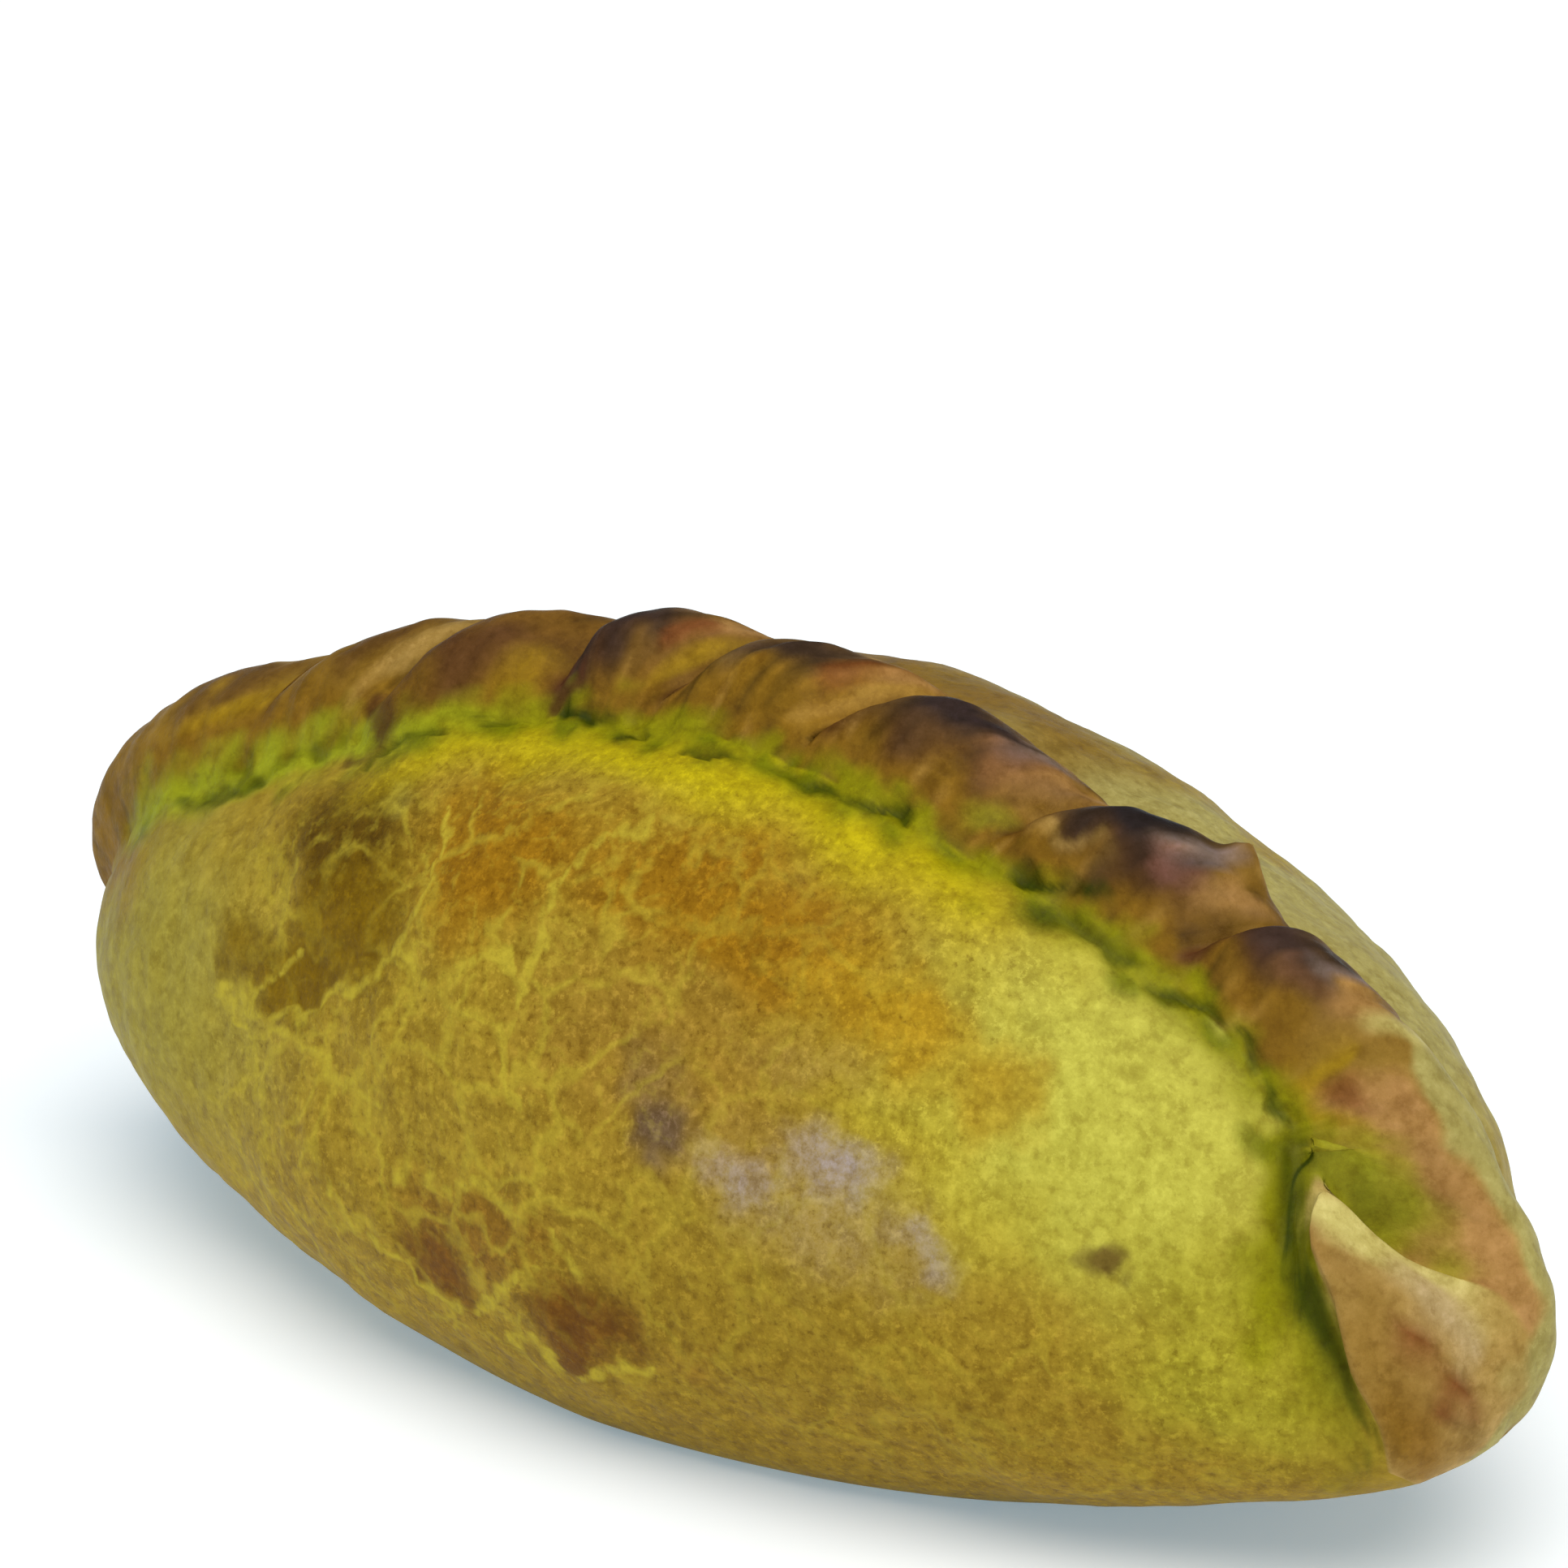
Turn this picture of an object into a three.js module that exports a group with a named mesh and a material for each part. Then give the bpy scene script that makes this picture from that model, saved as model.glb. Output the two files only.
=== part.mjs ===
// A baked pastry pouch lying on its belly, its seam folded into a rope along the top.
// Millimetres, +Z up, long side along X. The front of the belly faces -Y.
// The origin is on the resting plane, under the middle of the piece.
// A pair in square brackets gives the start and the end of an even change, and the start may be the larger.
import * as THREE from 'three';

// Body sizes
const HALF_LENGTH = 61.0;
const BELLY_FRONT = 23.5;
const BELLY_BACK = 39.7;
const BODY_TOP = 49.4;
const WIDEST_AT = 19.3;
const UNDERSIDE = 24.6;
const TIP_TAPER = 1.28;
const LEAN = 0.11;
const FLOOR_BLEND = 1.5;

// Fuller right end: how much it is pushed out, from which x on, and between which heights this sets in
const FULL_END = 0.0136;
const FULL_END_FROM = 32.0;
const FULL_END_HEIGHTS = [24.0, 5.0];

// Seam, given as angles round the body's side profile, left end to right end
const SEAM_START = THREE.MathUtils.degToRad(181.4);
const SEAM_END = THREE.MathUtils.degToRad(-27.4);

// Rope sizes: height over its feet, and how far each foot stands from the seam
const ROPE_RISE = 5.5;
const ROPE_HALF_ANGLE = THREE.MathUtils.degToRad(72);
const FOOT_LEFT = 8.5;
const FOOT_MIDDLE = 5.7;
const FOOT_RIGHT = 4.7;
const FOOT_END = 10.3;
const FOOT_BACK = 7.0;
const FOOT_BACK_END = 11.0;

// Largest distance of a foot as a share of the belly's reach, and of its sine round the section
const FOOT_LIMIT_FRONT = 0.75;
const FOOT_LIMIT_END = 1.0;
const FOOT_LIMIT_BACK = 0.62;
const FOOT_SINE_LIMIT = 0.9;

// Where along the seam the feet change their distance
const FOOT_NARROWS = [0.28, 0.37];
const FOOT_SLIMS = [0.58, 0.72];
const FOOT_BROADENS = [0.765, 0.875];
const FOOT_FREED = [0.90, 0.96];
const BACK_FOOT_BROADENS = [0.78, 0.90];

// Outline of the curl's foot: a lobe, a waist after it, and how wide both are
const CURL_LOBE = 1.0;
const CURL_LOBE_AT = 0.832;
const CURL_WAIST = 1.2;
const CURL_WAIST_AT = 0.878;
const CURL_WAVE = 0.028;

// Slant of the folds: how far round the belly it is felt, how much the back leans, and where that sets in
const SLANT_REACH = 0.35;
const BACK_SLANT = 0.035;
const BACK_SLANT_GROWS = [0, 0.12];

// Crest of a fold: place of its top, fullness, and the higher start of the first fold
const CREST_PLACE = 0.84;
const CREST_FULL = 0.78;
const FIRST_PLACE = 0.8;
const FIRST_BLEND = 0.4;

// Heights of gaps and crests as shares of the rope's rise, on the front and on the back of the rope
const GAP_LEVEL_FRONT = 0.70;
const GAP_LEVEL_BACK = 0.84;
const RELIEF_FRONT = 0.51;
const RELIEF_BACK = 0.24;
const GAP_ON_BACK = 0.3;
const FRONT_FROM_BACK = [-0.5, 0.5];
const GAP_AFTER_START = [0.35, 0];
const GAP_BEFORE_END = [0.45, 1];

// Lips that lean over the fold before, and how much a crest stands out sideways or a gap draws in
const FOLD_LIP = 2.6;
const CURL_LIP = 1.5;
const FOLD_BULGE = 0.12;
const GAP_PINCH = 0.08;

// Where across the rope the folds stand out: above the foot only, or round the whole rope at the curl
const STAND_OUT = [0.88, 0.32];
const WHOLE_POWER_FRONT = 0.9;
const WHOLE_POWER_BACK = 0.7;
const WHOLE_AT_CURL = [0.82, 0.90];

// Thicker rope ends
const END_EXTRA = 0.16;
const TALLER_LEFT = [0.24, 0.12];
const TALLER_RIGHT = [0.84, 0.92];
const THICKEST = 1.25;
const THICK_POWER = 0.6;

// Borders between folds that are smoothed away: their level, and how far across a fold they are felt
const FILL_LEVEL = 0.85;
const JOIN_START = [0.5, 0];
const JOIN_END = [0.5, 1];
const CURL_JOINS_AT_BACK = [0.20, -0.20];

// Curl at the right end: where it lies along the seam, and how it puffs out over its foot
const CURL_GROWS = [0.86, 0.89];
const CURL_FADES = [1.0, 0.93];
const CURL_BULGE = 0.50;
const PUFF_OVER_FOOT = [1.0, 0.70];
const PUFF_UNDER_RIDGE = [0.0, 0.3];

// Pocket before the curl
const POCKET_DEPTH = 0.42;
const POCKET_ALONG = [0.5, 0.86];
const POCKET_ACROSS = [-0.35, 0.25];

// Small nub on the back of the rope: place along the seam, place across the rope, height, and its two widths
const NUB_PLACE = 0.670;
const NUB_SHARE = -0.42;
const NUB_HEIGHT = 1.9;
const NUB_LENGTH = 0.008;
const NUB_WIDTH = 0.14;

// Crease between rope and belly: depth, extra depth where two folds meet, reach
const CREASE_DEPTH = 1.1;
const CREASE_PIT = 0.5;
const CREASE_REACH = 6.0;
const PIT_REACH = 2.2;
const TIP_FADE = 0.5;

// Deeper and broader crease beside the curl
const CURL_CREASE_DEPTH = 1.5;
const CURL_CREASE_REACH = 3.0;
const CURL_CREASE_GROWS = [0.74, 0.82];
const CURL_CREASE_FADES = [1.0, 0.9];

// Stretch of the seam over which the rope and its crease sink back into the body
const END_SINKS = [1.0, 0.88];

// Folds from left to right. Ridge and foot are shares of the seam's length where the fold starts,
// rise is the height of its crest, dip the depth of the gap before it,
// and soft how much its start is smoothed away.
const FOLDS = [
  { ridge: 0.000, foot: 0.000, rise: 1.00, dip: 0.00, soft: 0.00 },
  { ridge: 0.195, foot: 0.180, rise: 0.90, dip: 0.08, soft: 0.45 },
  { ridge: 0.303, foot: 0.260, rise: 0.76, dip: 0.16, soft: 0.00 },
  { ridge: 0.352, foot: 0.357, rise: 1.20, dip: 0.20, soft: 0.00 },
  { ridge: 0.452, foot: 0.406, rise: 1.02, dip: 0.15, soft: 0.00 },
  { ridge: 0.532, foot: 0.494, rise: 1.10, dip: 0.15, soft: 0.00 },
  { ridge: 0.616, foot: 0.596, rise: 1.15, dip: 0.15, soft: 0.00 },
  { ridge: 0.706, foot: 0.696, rise: 1.10, dip: 0.15, soft: 0.00 },
  { ridge: 0.769, foot: 0.768, rise: 0.95, dip: 0.10, soft: 1.00 },
  { ridge: 0.915, foot: 0.803, rise: 1.15, dip: 0.45, soft: 1.00 },
];
const CURL_FOLD = 9;
const POCKET_FOLD = 8;

// Mesh fineness, and how closely loops crowd at a fold's start and at the two tips
const LOOPS_PER_TENTH = 9;
const FEWEST_LOOPS = 6;
const FINER_NEAR_CURL = 1.6;
const BELLY_STEPS = 36;
const ROPE_STEPS = 18;
const START_CROWDING = 1.35;
const TIP_CROWDING = 1.6;
const FIRST_TIP_SHARE = 0.5;
const LAST_TIP_SHARE = 0.65;

const TINY = 1e-6;
const { clamp, lerp } = THREE.MathUtils;

function smooth([start, end], value) {
  const t = clamp((value - start) / (end - start), 0, 1);
  return t * t * (3 - 2 * t);
}

function bell(value, middle, width) {
  return Math.exp(-(((value - middle) / width) ** 2));
}

// The smaller of two lengths, with a rounded change from one to the other
function softMin(a, b) {
  return (a * b) / Math.max((a ** 4 + b ** 4) ** 0.25, TINY);
}

// Flattens the underside: heights below the blend become exactly zero
function restOnFloor(z) {
  if (z > FLOOR_BLEND) return z;
  if (z < -FLOOR_BLEND) return 0;
  return (z + FLOOR_BLEND) ** 2 / (4 * FLOOR_BLEND);
}

// How much the right end is pushed out at a height
function fullEnd(z) {
  return FULL_END * smooth(FULL_END_HEIGHTS, z);
}

// Side profile of the body without rope, at an angle from its middle
function profile(angle) {
  const c = Math.cos(angle);
  const s = Math.sin(angle);
  const z = WIDEST_AT + (s > 0 ? BODY_TOP - WIDEST_AT : UNDERSIDE) * s;
  const x = HALF_LENGTH * Math.sign(c) * Math.abs(c) ** TIP_TAPER;
  return { x: x + fullEnd(z) * Math.max(x - FULL_END_FROM, 0) ** 2, z };
}

// Share of the belly's full reach at a place in the side profile
function bellyShare(x, z) {
  const past = Math.max(x - FULL_END_FROM, 0);
  const plain = x - past + 2 * past / (1 + Math.sqrt(1 + 4 * fullEnd(z) * past));
  const level = z > WIDEST_AT ? (z - WIDEST_AT) / (BODY_TOP - WIDEST_AT) : (WIDEST_AT - z) / UNDERSIDE;
  const filled = Math.abs(plain / HALF_LENGTH) ** (2 / TIP_TAPER) + level * level;
  return Math.sqrt(Math.max(1 - filled, 0));
}

// Seam length table, so that shares of the seam can be turned into angles
const TABLE_STEPS = 2000;
const SEAM_SPAN = SEAM_END - SEAM_START;
const seamRun = [0];
for (let i = 1; i <= TABLE_STEPS; i += 1) {
  const before = profile(SEAM_START + SEAM_SPAN * (i - 1) / TABLE_STEPS);
  const here = profile(SEAM_START + SEAM_SPAN * i / TABLE_STEPS);
  seamRun.push(seamRun[i - 1] + Math.hypot(here.x - before.x, here.z - before.z));
}
const seamLength = seamRun[TABLE_STEPS];

function seamParameter(share) {
  const wanted = clamp(share, 0, 1) * seamLength;
  let low = 0;
  let high = TABLE_STEPS;
  while (high - low > 1) {
    const middle = (low + high) >> 1;
    if (seamRun[middle] <= wanted) low = middle;
    else high = middle;
  }
  return (low + (wanted - seamRun[low]) / (seamRun[high] - seamRun[low])) / TABLE_STEPS;
}

// Seam point, keel point opposite it, direction along the seam, and the belly share between the two
function section(share) {
  const u = seamParameter(share);
  const angle = SEAM_START + SEAM_SPAN * u;
  const seam = profile(angle);
  const keel = profile(SEAM_START + (2 * Math.PI + SEAM_SPAN) * u);
  const ahead = profile(angle - TINY);
  const behind = profile(angle + TINY);
  const size = Math.hypot(ahead.x - behind.x, ahead.z - behind.z);
  const along = { x: (ahead.x - behind.x) / size, z: (ahead.z - behind.z) / size };
  const middle = { x: (seam.x + keel.x) / 2, z: (seam.z + keel.z) / 2 };
  return { seam, keel, along, middle, full: bellyShare(middle.x, middle.z) };
}

// Distance of the front foot from the seam, broad at both ends and wavy beside the curl
function frontFootAt(share, full) {
  const leftPart = lerp(FOOT_LEFT, FOOT_MIDDLE, smooth(FOOT_NARROWS, share));
  const slimmer = (FOOT_RIGHT - FOOT_MIDDLE) * smooth(FOOT_SLIMS, share);
  const broader = (FOOT_END - FOOT_RIGHT) * smooth(FOOT_BROADENS, share);
  const lobe = CURL_LOBE * bell(share, CURL_LOBE_AT, CURL_WAVE);
  const waist = CURL_WAIST * bell(share, CURL_WAIST_AT, CURL_WAVE);
  const limit = lerp(FOOT_LIMIT_FRONT, FOOT_LIMIT_END, smooth(FOOT_FREED, share));
  return softMin(leftPart + slimmer + broader + lobe - waist, limit * BELLY_FRONT * full);
}

// Distance of the back foot from the seam, broader at the right end
function backFootAt(share, full) {
  const width = lerp(FOOT_BACK, FOOT_BACK_END, smooth(BACK_FOOT_BROADENS, share));
  return softMin(width, FOOT_LIMIT_BACK * BELLY_BACK * full);
}

// Angle of a foot round the section
function footAngle(foot, reach, full) {
  return Math.asin(clamp(foot / Math.max(reach * full, TINY), 0, FOOT_SINE_LIMIT));
}

// Loops round the piece, closer together at each fold's start and at both tips
function makeLoops() {
  const loops = [];
  FOLDS.forEach((fold, index) => {
    const last = index === CURL_FOLD;
    const before = index === 0 ? fold : FOLDS[index - 1];
    const next = last ? { ridge: 1, foot: 1, rise: fold.rise, dip: 0, soft: 0 } : FOLDS[index + 1];
    const span = next.ridge - fold.ridge;
    const perTenth = LOOPS_PER_TENTH * (index < POCKET_FOLD ? 1 : FINER_NEAR_CURL);
    const count = Math.max(FEWEST_LOOPS, Math.round(perTenth * span * 10));
    for (let k = 0; k < count; k += 1) {
      const t = k / count;
      const quarter = t * Math.PI / 2;
      let q = t ** START_CROWDING;
      if (index === 0) q = lerp(t ** TIP_CROWDING, 1 - Math.cos(quarter), FIRST_TIP_SHARE);
      if (last) q = lerp(q, Math.sin(quarter) ** START_CROWDING, LAST_TIP_SHARE);
      const slant = lerp(fold.ridge - fold.foot, next.ridge - next.foot, q);
      loops.push({ index, q, before, fold, next, label: fold.ridge + span * q, slant });
    }
  });
  loops.push({ ...loops[loops.length - 1], q: 1, label: 1, slant: 0 });
  return loops;
}

// Plain rise and fall across a fold
function archOf(q) {
  return Math.max(Math.sin(Math.PI * q ** CREST_PLACE), 0);
}

// Height across a fold: a full crest with a steep start. The first fold starts high.
function crestOf(index, q) {
  const crest = archOf(q) ** CREST_FULL;
  if (index > 0) return crest;
  return lerp(crest, Math.sin(Math.PI * (0.5 + 0.5 * q) ** FIRST_PLACE), FIRST_BLEND);
}

// How much a loop's fold is smoothed into the one before and the one after it.
// The curl's border is smoothed only where it is joined.
function joinsOf(loop, joined) {
  const { index, q, fold, next } = loop;
  const start = fold.soft * (index === CURL_FOLD ? joined : 1) * smooth(JOIN_START, q);
  const end = next.soft * (index === POCKET_FOLD ? joined : 1) * smooth(JOIN_END, q);
  return { start, end, fill: start + end };
}

// Belly part of a loop: from the front crease under the belly to the back crease
function bellyPoints(loop, feet) {
  const { q, label, slant } = loop;
  const pitHere = CREASE_PIT * (1 - archOf(q)) * (1 - joinsOf(loop, 1).fill);
  const points = [];
  for (let j = 0; j < BELLY_STEPS; j += 1) {
    const v = j / (BELLY_STEPS - 1);
    let turn = feet.frontAngle + (2 * Math.PI - feet.frontAngle - feet.backAngle) * v;
    if (turn > Math.PI) turn -= 2 * Math.PI;
    const front = turn > 0;
    const fromFront = clamp(1 - v / SLANT_REACH, 0, 1) ** 2;
    const fromBack = clamp(1 - (1 - v) / SLANT_REACH, 0, 1) ** 2;
    const share = label - slant * fromFront + feet.backSlant * fromBack;
    const here = section(share);
    const high = (1 + Math.cos(turn)) / 2;
    const x = lerp(here.keel.x, here.seam.x, high);
    const z = lerp(here.keel.z, here.seam.z, high);
    const reach = front ? BELLY_FRONT : BELLY_BACK;
    const y = -Math.sign(turn) * bellyShare(x, z) * reach;
    const inward = new THREE.Vector3(here.middle.x - x, -y, here.middle.z - z);
    inward.divideScalar(Math.max(inward.length(), TINY));
    const foot = front ? frontFootAt(share, here.full) : backFootAt(share, here.full);
    const away = Math.max(Math.abs(turn) - footAngle(foot, reach, here.full), 0) * here.full * reach;
    const nearCurl = front ? smooth(CURL_CREASE_GROWS, share) * smooth(CURL_CREASE_FADES, share) : 0;
    const valleyDepth = CREASE_DEPTH + CURL_CREASE_DEPTH * nearCurl;
    const valley = valleyDepth * Math.exp(-away / (CREASE_REACH + CURL_CREASE_REACH * nearCurl));
    const pit = pitHere * Math.exp(-away / PIT_REACH);
    const depth = (valley + pit) * clamp(here.full / TIP_FADE, 0, 1) * smooth(END_SINKS, share);
    points.push(new THREE.Vector3(x, y, z).addScaledVector(inward, depth));
  }
  return points;
}

// Rope part of a loop: from the back foot over the ridge to the front foot
function ropePoints(loop, feet, footFront, footBack) {
  const { index, q, before, fold, next, label } = loop;
  const crest = crestOf(index, q);
  const centre = footFront.clone().add(footBack).multiplyScalar(0.5);
  const across = footFront.clone().sub(footBack).multiplyScalar(0.5);
  const { along } = section(label);
  const curl = smooth(CURL_GROWS, label) * smooth(CURL_FADES, label);
  const thick = Math.min((feet.front + feet.back) / (FOOT_MIDDLE + FOOT_BACK), THICKEST);
  const tall = 1 + END_EXTRA * (smooth(TALLER_LEFT, label) + smooth(TALLER_RIGHT, label));
  const height = ROPE_RISE * thick ** THICK_POWER * tall * smooth(END_SINKS, label);
  const gap = fold.dip * smooth(GAP_AFTER_START, q) + next.dip * smooth(GAP_BEFORE_END, q);
  const points = [];
  for (let j = 1; j < ROPE_STEPS - 1; j += 1) {
    const share = -1 + 2 * j / (ROPE_STEPS - 1);
    const angle = share * ROPE_HALF_ANGLE;
    const front = smooth(FRONT_FROM_BACK, share);
    const wholePower = share > 0 ? WHOLE_POWER_FRONT : WHOLE_POWER_BACK;
    const whole = Math.cos(Math.abs(share) * Math.PI / 2) ** wholePower;
    const highOnly = share > 0 ? smooth(STAND_OUT, share) : whole;
    const hold = lerp(highOnly, whole, smooth(WHOLE_AT_CURL, label));
    const { start, end, fill } = joinsOf(loop, smooth(CURL_JOINS_AT_BACK, share));
    const crestHere = lerp(crest, FILL_LEVEL, fill);
    const rise = fold.rise + 0.5 * (start * (before.rise - fold.rise) + end * (next.rise - fold.rise));
    const inPocket = index === POCKET_FOLD ? smooth(POCKET_ALONG, q) * smooth(POCKET_ACROSS, share) : 0;
    const base = lerp(GAP_LEVEL_BACK, GAP_LEVEL_FRONT, front);
    const relief = lerp(RELIEF_BACK, RELIEF_FRONT, front) * rise * crestHere;
    const lowered = gap * lerp(GAP_ON_BACK, 1, front) * (1 - fill) + POCKET_DEPTH * inPocket;
    const factor = 1 + hold * (base + relief - lowered - 1);
    const bulge = hold * (FOLD_BULGE * crestHere - GAP_PINCH);
    const puff = smooth(PUFF_OVER_FOOT, share) * smooth(PUFF_UNDER_RIDGE, share);
    const side = Math.sin(angle) / Math.sin(ROPE_HALF_ANGLE) * (1 + bulge + CURL_BULGE * curl * crest * puff);
    const arch = (Math.cos(angle) - Math.cos(ROPE_HALF_ANGLE)) / (1 - Math.cos(ROPE_HALF_ANGLE));
    const nub = NUB_HEIGHT * bell(label, NUB_PLACE, NUB_LENGTH) * bell(share, NUB_SHARE, NUB_WIDTH);
    const up = height * arch * factor + nub;
    const lip = -(FOLD_LIP + CURL_LIP * curl) * hold * crest * (1 - q) * Math.min(thick, 1) * (1 - fill);
    const point = centre.clone().addScaledVector(across, side);
    point.x += -along.z * up + along.x * lip;
    point.z += along.x * up + along.z * lip;
    points.push(point);
  }
  return points;
}

// One loop of points round the piece
function loopPoints(loop) {
  const { label, slant } = loop;
  const backSlant = BACK_SLANT * smooth(BACK_SLANT_GROWS, label) * smooth(BACK_SLANT_GROWS, 1 - label);
  const frontFull = section(label - slant).full;
  const backFull = section(label + backSlant).full;
  const front = frontFootAt(label - slant, frontFull);
  const back = backFootAt(label + backSlant, backFull);
  const frontAngle = footAngle(front, BELLY_FRONT, frontFull);
  const backAngle = footAngle(back, BELLY_BACK, backFull);
  const feet = { front, back, frontAngle, backAngle, backSlant };
  const belly = bellyPoints(loop, feet);
  const rope = ropePoints(loop, feet, belly[0], belly[BELLY_STEPS - 1]);
  const points = [...belly, ...rope];
  for (const point of points) {
    point.z = restOnFloor(point.z);
    point.y += LEAN * point.z;
  }
  return points;
}

// Closed surface: loops joined one to the next, with a single point at each tip
function pastryGeometry() {
  const loops = makeLoops().map(loopPoints);
  const tipOf = (points) => {
    const sum = points.reduce((total, point) => total.add(point), new THREE.Vector3());
    return sum.divideScalar(points.length);
  };
  const rings = loops.slice(1, -1);
  const round = rings[0].length;
  const vertices = [tipOf(loops[0]), ...rings.flat(), tipOf(loops[loops.length - 1])];
  const lastTip = vertices.length - 1;
  const at = (ring, step) => 1 + ring * round + (step % round);
  const triangles = [];
  for (let j = 0; j < round; j += 1) {
    triangles.push(0, at(0, j + 1), at(0, j));
    triangles.push(lastTip, at(rings.length - 1, j), at(rings.length - 1, j + 1));
    for (let i = 0; i < rings.length - 1; i += 1) {
      triangles.push(at(i, j), at(i, j + 1), at(i + 1, j + 1));
      triangles.push(at(i, j), at(i + 1, j + 1), at(i + 1, j));
    }
  }
  const geometry = new THREE.BufferGeometry();
  geometry.setFromPoints(vertices);
  geometry.setIndex(triangles);
  geometry.computeBoundingBox();
  const middle = geometry.boundingBox.getCenter(new THREE.Vector3());
  geometry.translate(-middle.x, -middle.y, 0);
  geometry.computeVertexNormals();
  return geometry;
}

const crust = new THREE.MeshStandardMaterial({ color: 0xa07a22, roughness: 0.55, metalness: 0.0 });
const pastry = new THREE.Mesh(pastryGeometry(), crust);
pastry.name = 'pastry';
const part = new THREE.Group();
part.name = 'filled_pastry';
part.add(pastry);
export default part;
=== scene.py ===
import math

import bpy
import numpy as np
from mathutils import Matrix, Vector


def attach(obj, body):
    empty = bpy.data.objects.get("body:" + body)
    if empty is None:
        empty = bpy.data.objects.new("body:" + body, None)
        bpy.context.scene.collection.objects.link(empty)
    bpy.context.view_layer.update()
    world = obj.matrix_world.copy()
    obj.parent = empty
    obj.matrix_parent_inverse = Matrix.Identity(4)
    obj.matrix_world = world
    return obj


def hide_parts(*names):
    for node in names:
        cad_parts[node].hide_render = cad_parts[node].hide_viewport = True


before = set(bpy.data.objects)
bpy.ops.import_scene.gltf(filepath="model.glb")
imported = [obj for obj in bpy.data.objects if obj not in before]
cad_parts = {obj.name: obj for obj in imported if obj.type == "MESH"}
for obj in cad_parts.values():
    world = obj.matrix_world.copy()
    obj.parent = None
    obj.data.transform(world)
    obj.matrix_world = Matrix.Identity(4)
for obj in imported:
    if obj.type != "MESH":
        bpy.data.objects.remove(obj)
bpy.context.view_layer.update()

# Body sizes in millimetres, as in the solid
HALF_LENGTH = 61.0
BELLY_FRONT = 23.5
BELLY_BACK = 39.7
BODY_TOP = 49.4
WIDEST_AT = 19.3
UNDERSIDE = 24.6
TIP_TAPER = 1.28
FULL_END = 0.0136
FULL_END_FROM = 32.0
FULL_END_HEIGHTS = (24.0, 5.0)
LEAN = 0.11
FLOOR_BLEND = 1.5

# Seam and rope sizes, as in the solid
SEAM_START = math.radians(181.4)
SEAM_END = math.radians(-27.4)
ROPE_RISE = 5.5
ROPE_HALF_ANGLE = math.radians(72)
FOOT_LEFT = 8.5
FOOT_MIDDLE = 5.7
FOOT_RIGHT = 4.7
FOOT_END = 10.3
FOOT_BACK = 7.0
FOOT_BACK_END = 11.0
FOOT_LIMIT_FRONT = 0.75
FOOT_LIMIT_END = 1.0
FOOT_LIMIT_BACK = 0.62
FOOT_SINE_LIMIT = 0.9
FOLD_LIP = 2.6
CURL_LIP = 1.5
BACK_SLANT = 0.035
SLANT_REACH = 0.35
CREST_PLACE = 0.84
CREST_FULL = 0.78
FIRST_PLACE = 0.8
FIRST_BLEND = 0.4
GAP_LEVEL_FRONT = 0.70
GAP_LEVEL_BACK = 0.84
GAP_ON_BACK = 0.3
RELIEF_FRONT = 0.51
RELIEF_BACK = 0.24
FOLD_BULGE = 0.12
GAP_PINCH = 0.08
CURL_BULGE = 0.50
END_EXTRA = 0.16
THICKEST = 1.25
THICK_POWER = 0.6
WHOLE_POWER_FRONT = 0.9
WHOLE_POWER_BACK = 0.7
CREASE_DEPTH = 1.1
CREASE_PIT = 0.5
CREASE_REACH = 6.0
PIT_REACH = 2.2
CURL_CREASE_DEPTH = 1.5
CURL_CREASE_REACH = 3.0
CURL_LOBE = 1.0
CURL_LOBE_AT = 0.832
CURL_WAIST = 1.2
CURL_WAIST_AT = 0.878
CURL_WAVE = 0.028
TIP_FADE = 0.5
POCKET_DEPTH = 0.42
FILL_LEVEL = 0.85
NUB_PLACE = 0.670
NUB_SHARE = -0.42
NUB_HEIGHT = 1.9
NUB_LENGTH = 0.008
NUB_WIDTH = 0.14

# Where a change along the seam begins and where it is full, as shares of the seam
FOOT_NARROWS = (0.28, 0.37)
FOOT_SLIMS = (0.58, 0.72)
FOOT_BROADENS = (0.765, 0.875)
FOOT_FREED = (0.90, 0.96)
BACK_FOOT_BROADENS = (0.78, 0.90)
BACK_SLANT_GROWS = (0.0, 0.12)
CURL_CREASE_GROWS = (0.74, 0.82)
CURL_CREASE_FADES = (1.0, 0.9)
WHOLE_AT_CURL = (0.82, 0.90)
CURL_GROWS = (0.86, 0.89)
CURL_FADES = (1.0, 0.93)
TALLER_LEFT = (0.24, 0.12)
TALLER_RIGHT = (0.84, 0.92)
END_SINKS = (1.0, 0.88)

# The same across a fold, from 0 at its start to 1 at its end
JOIN_START = (0.5, 0.0)
JOIN_END = (0.5, 1.0)
GAP_AFTER_START = (0.35, 0.0)
GAP_BEFORE_END = (0.45, 1.0)
POCKET_ALONG = (0.5, 0.86)

# The same across the rope, from -1 at the back foot over 0 on the ridge to 1 at the front foot
FRONT_FROM_BACK = (-0.5, 0.5)
STAND_OUT = (0.88, 0.32)
CURL_JOINS_AT_BACK = (0.20, -0.20)
POCKET_ACROSS = (-0.35, 0.25)
PUFF_OVER_FOOT = (1.0, 0.70)
PUFF_UNDER_RIDGE = (0.0, 0.3)

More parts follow.
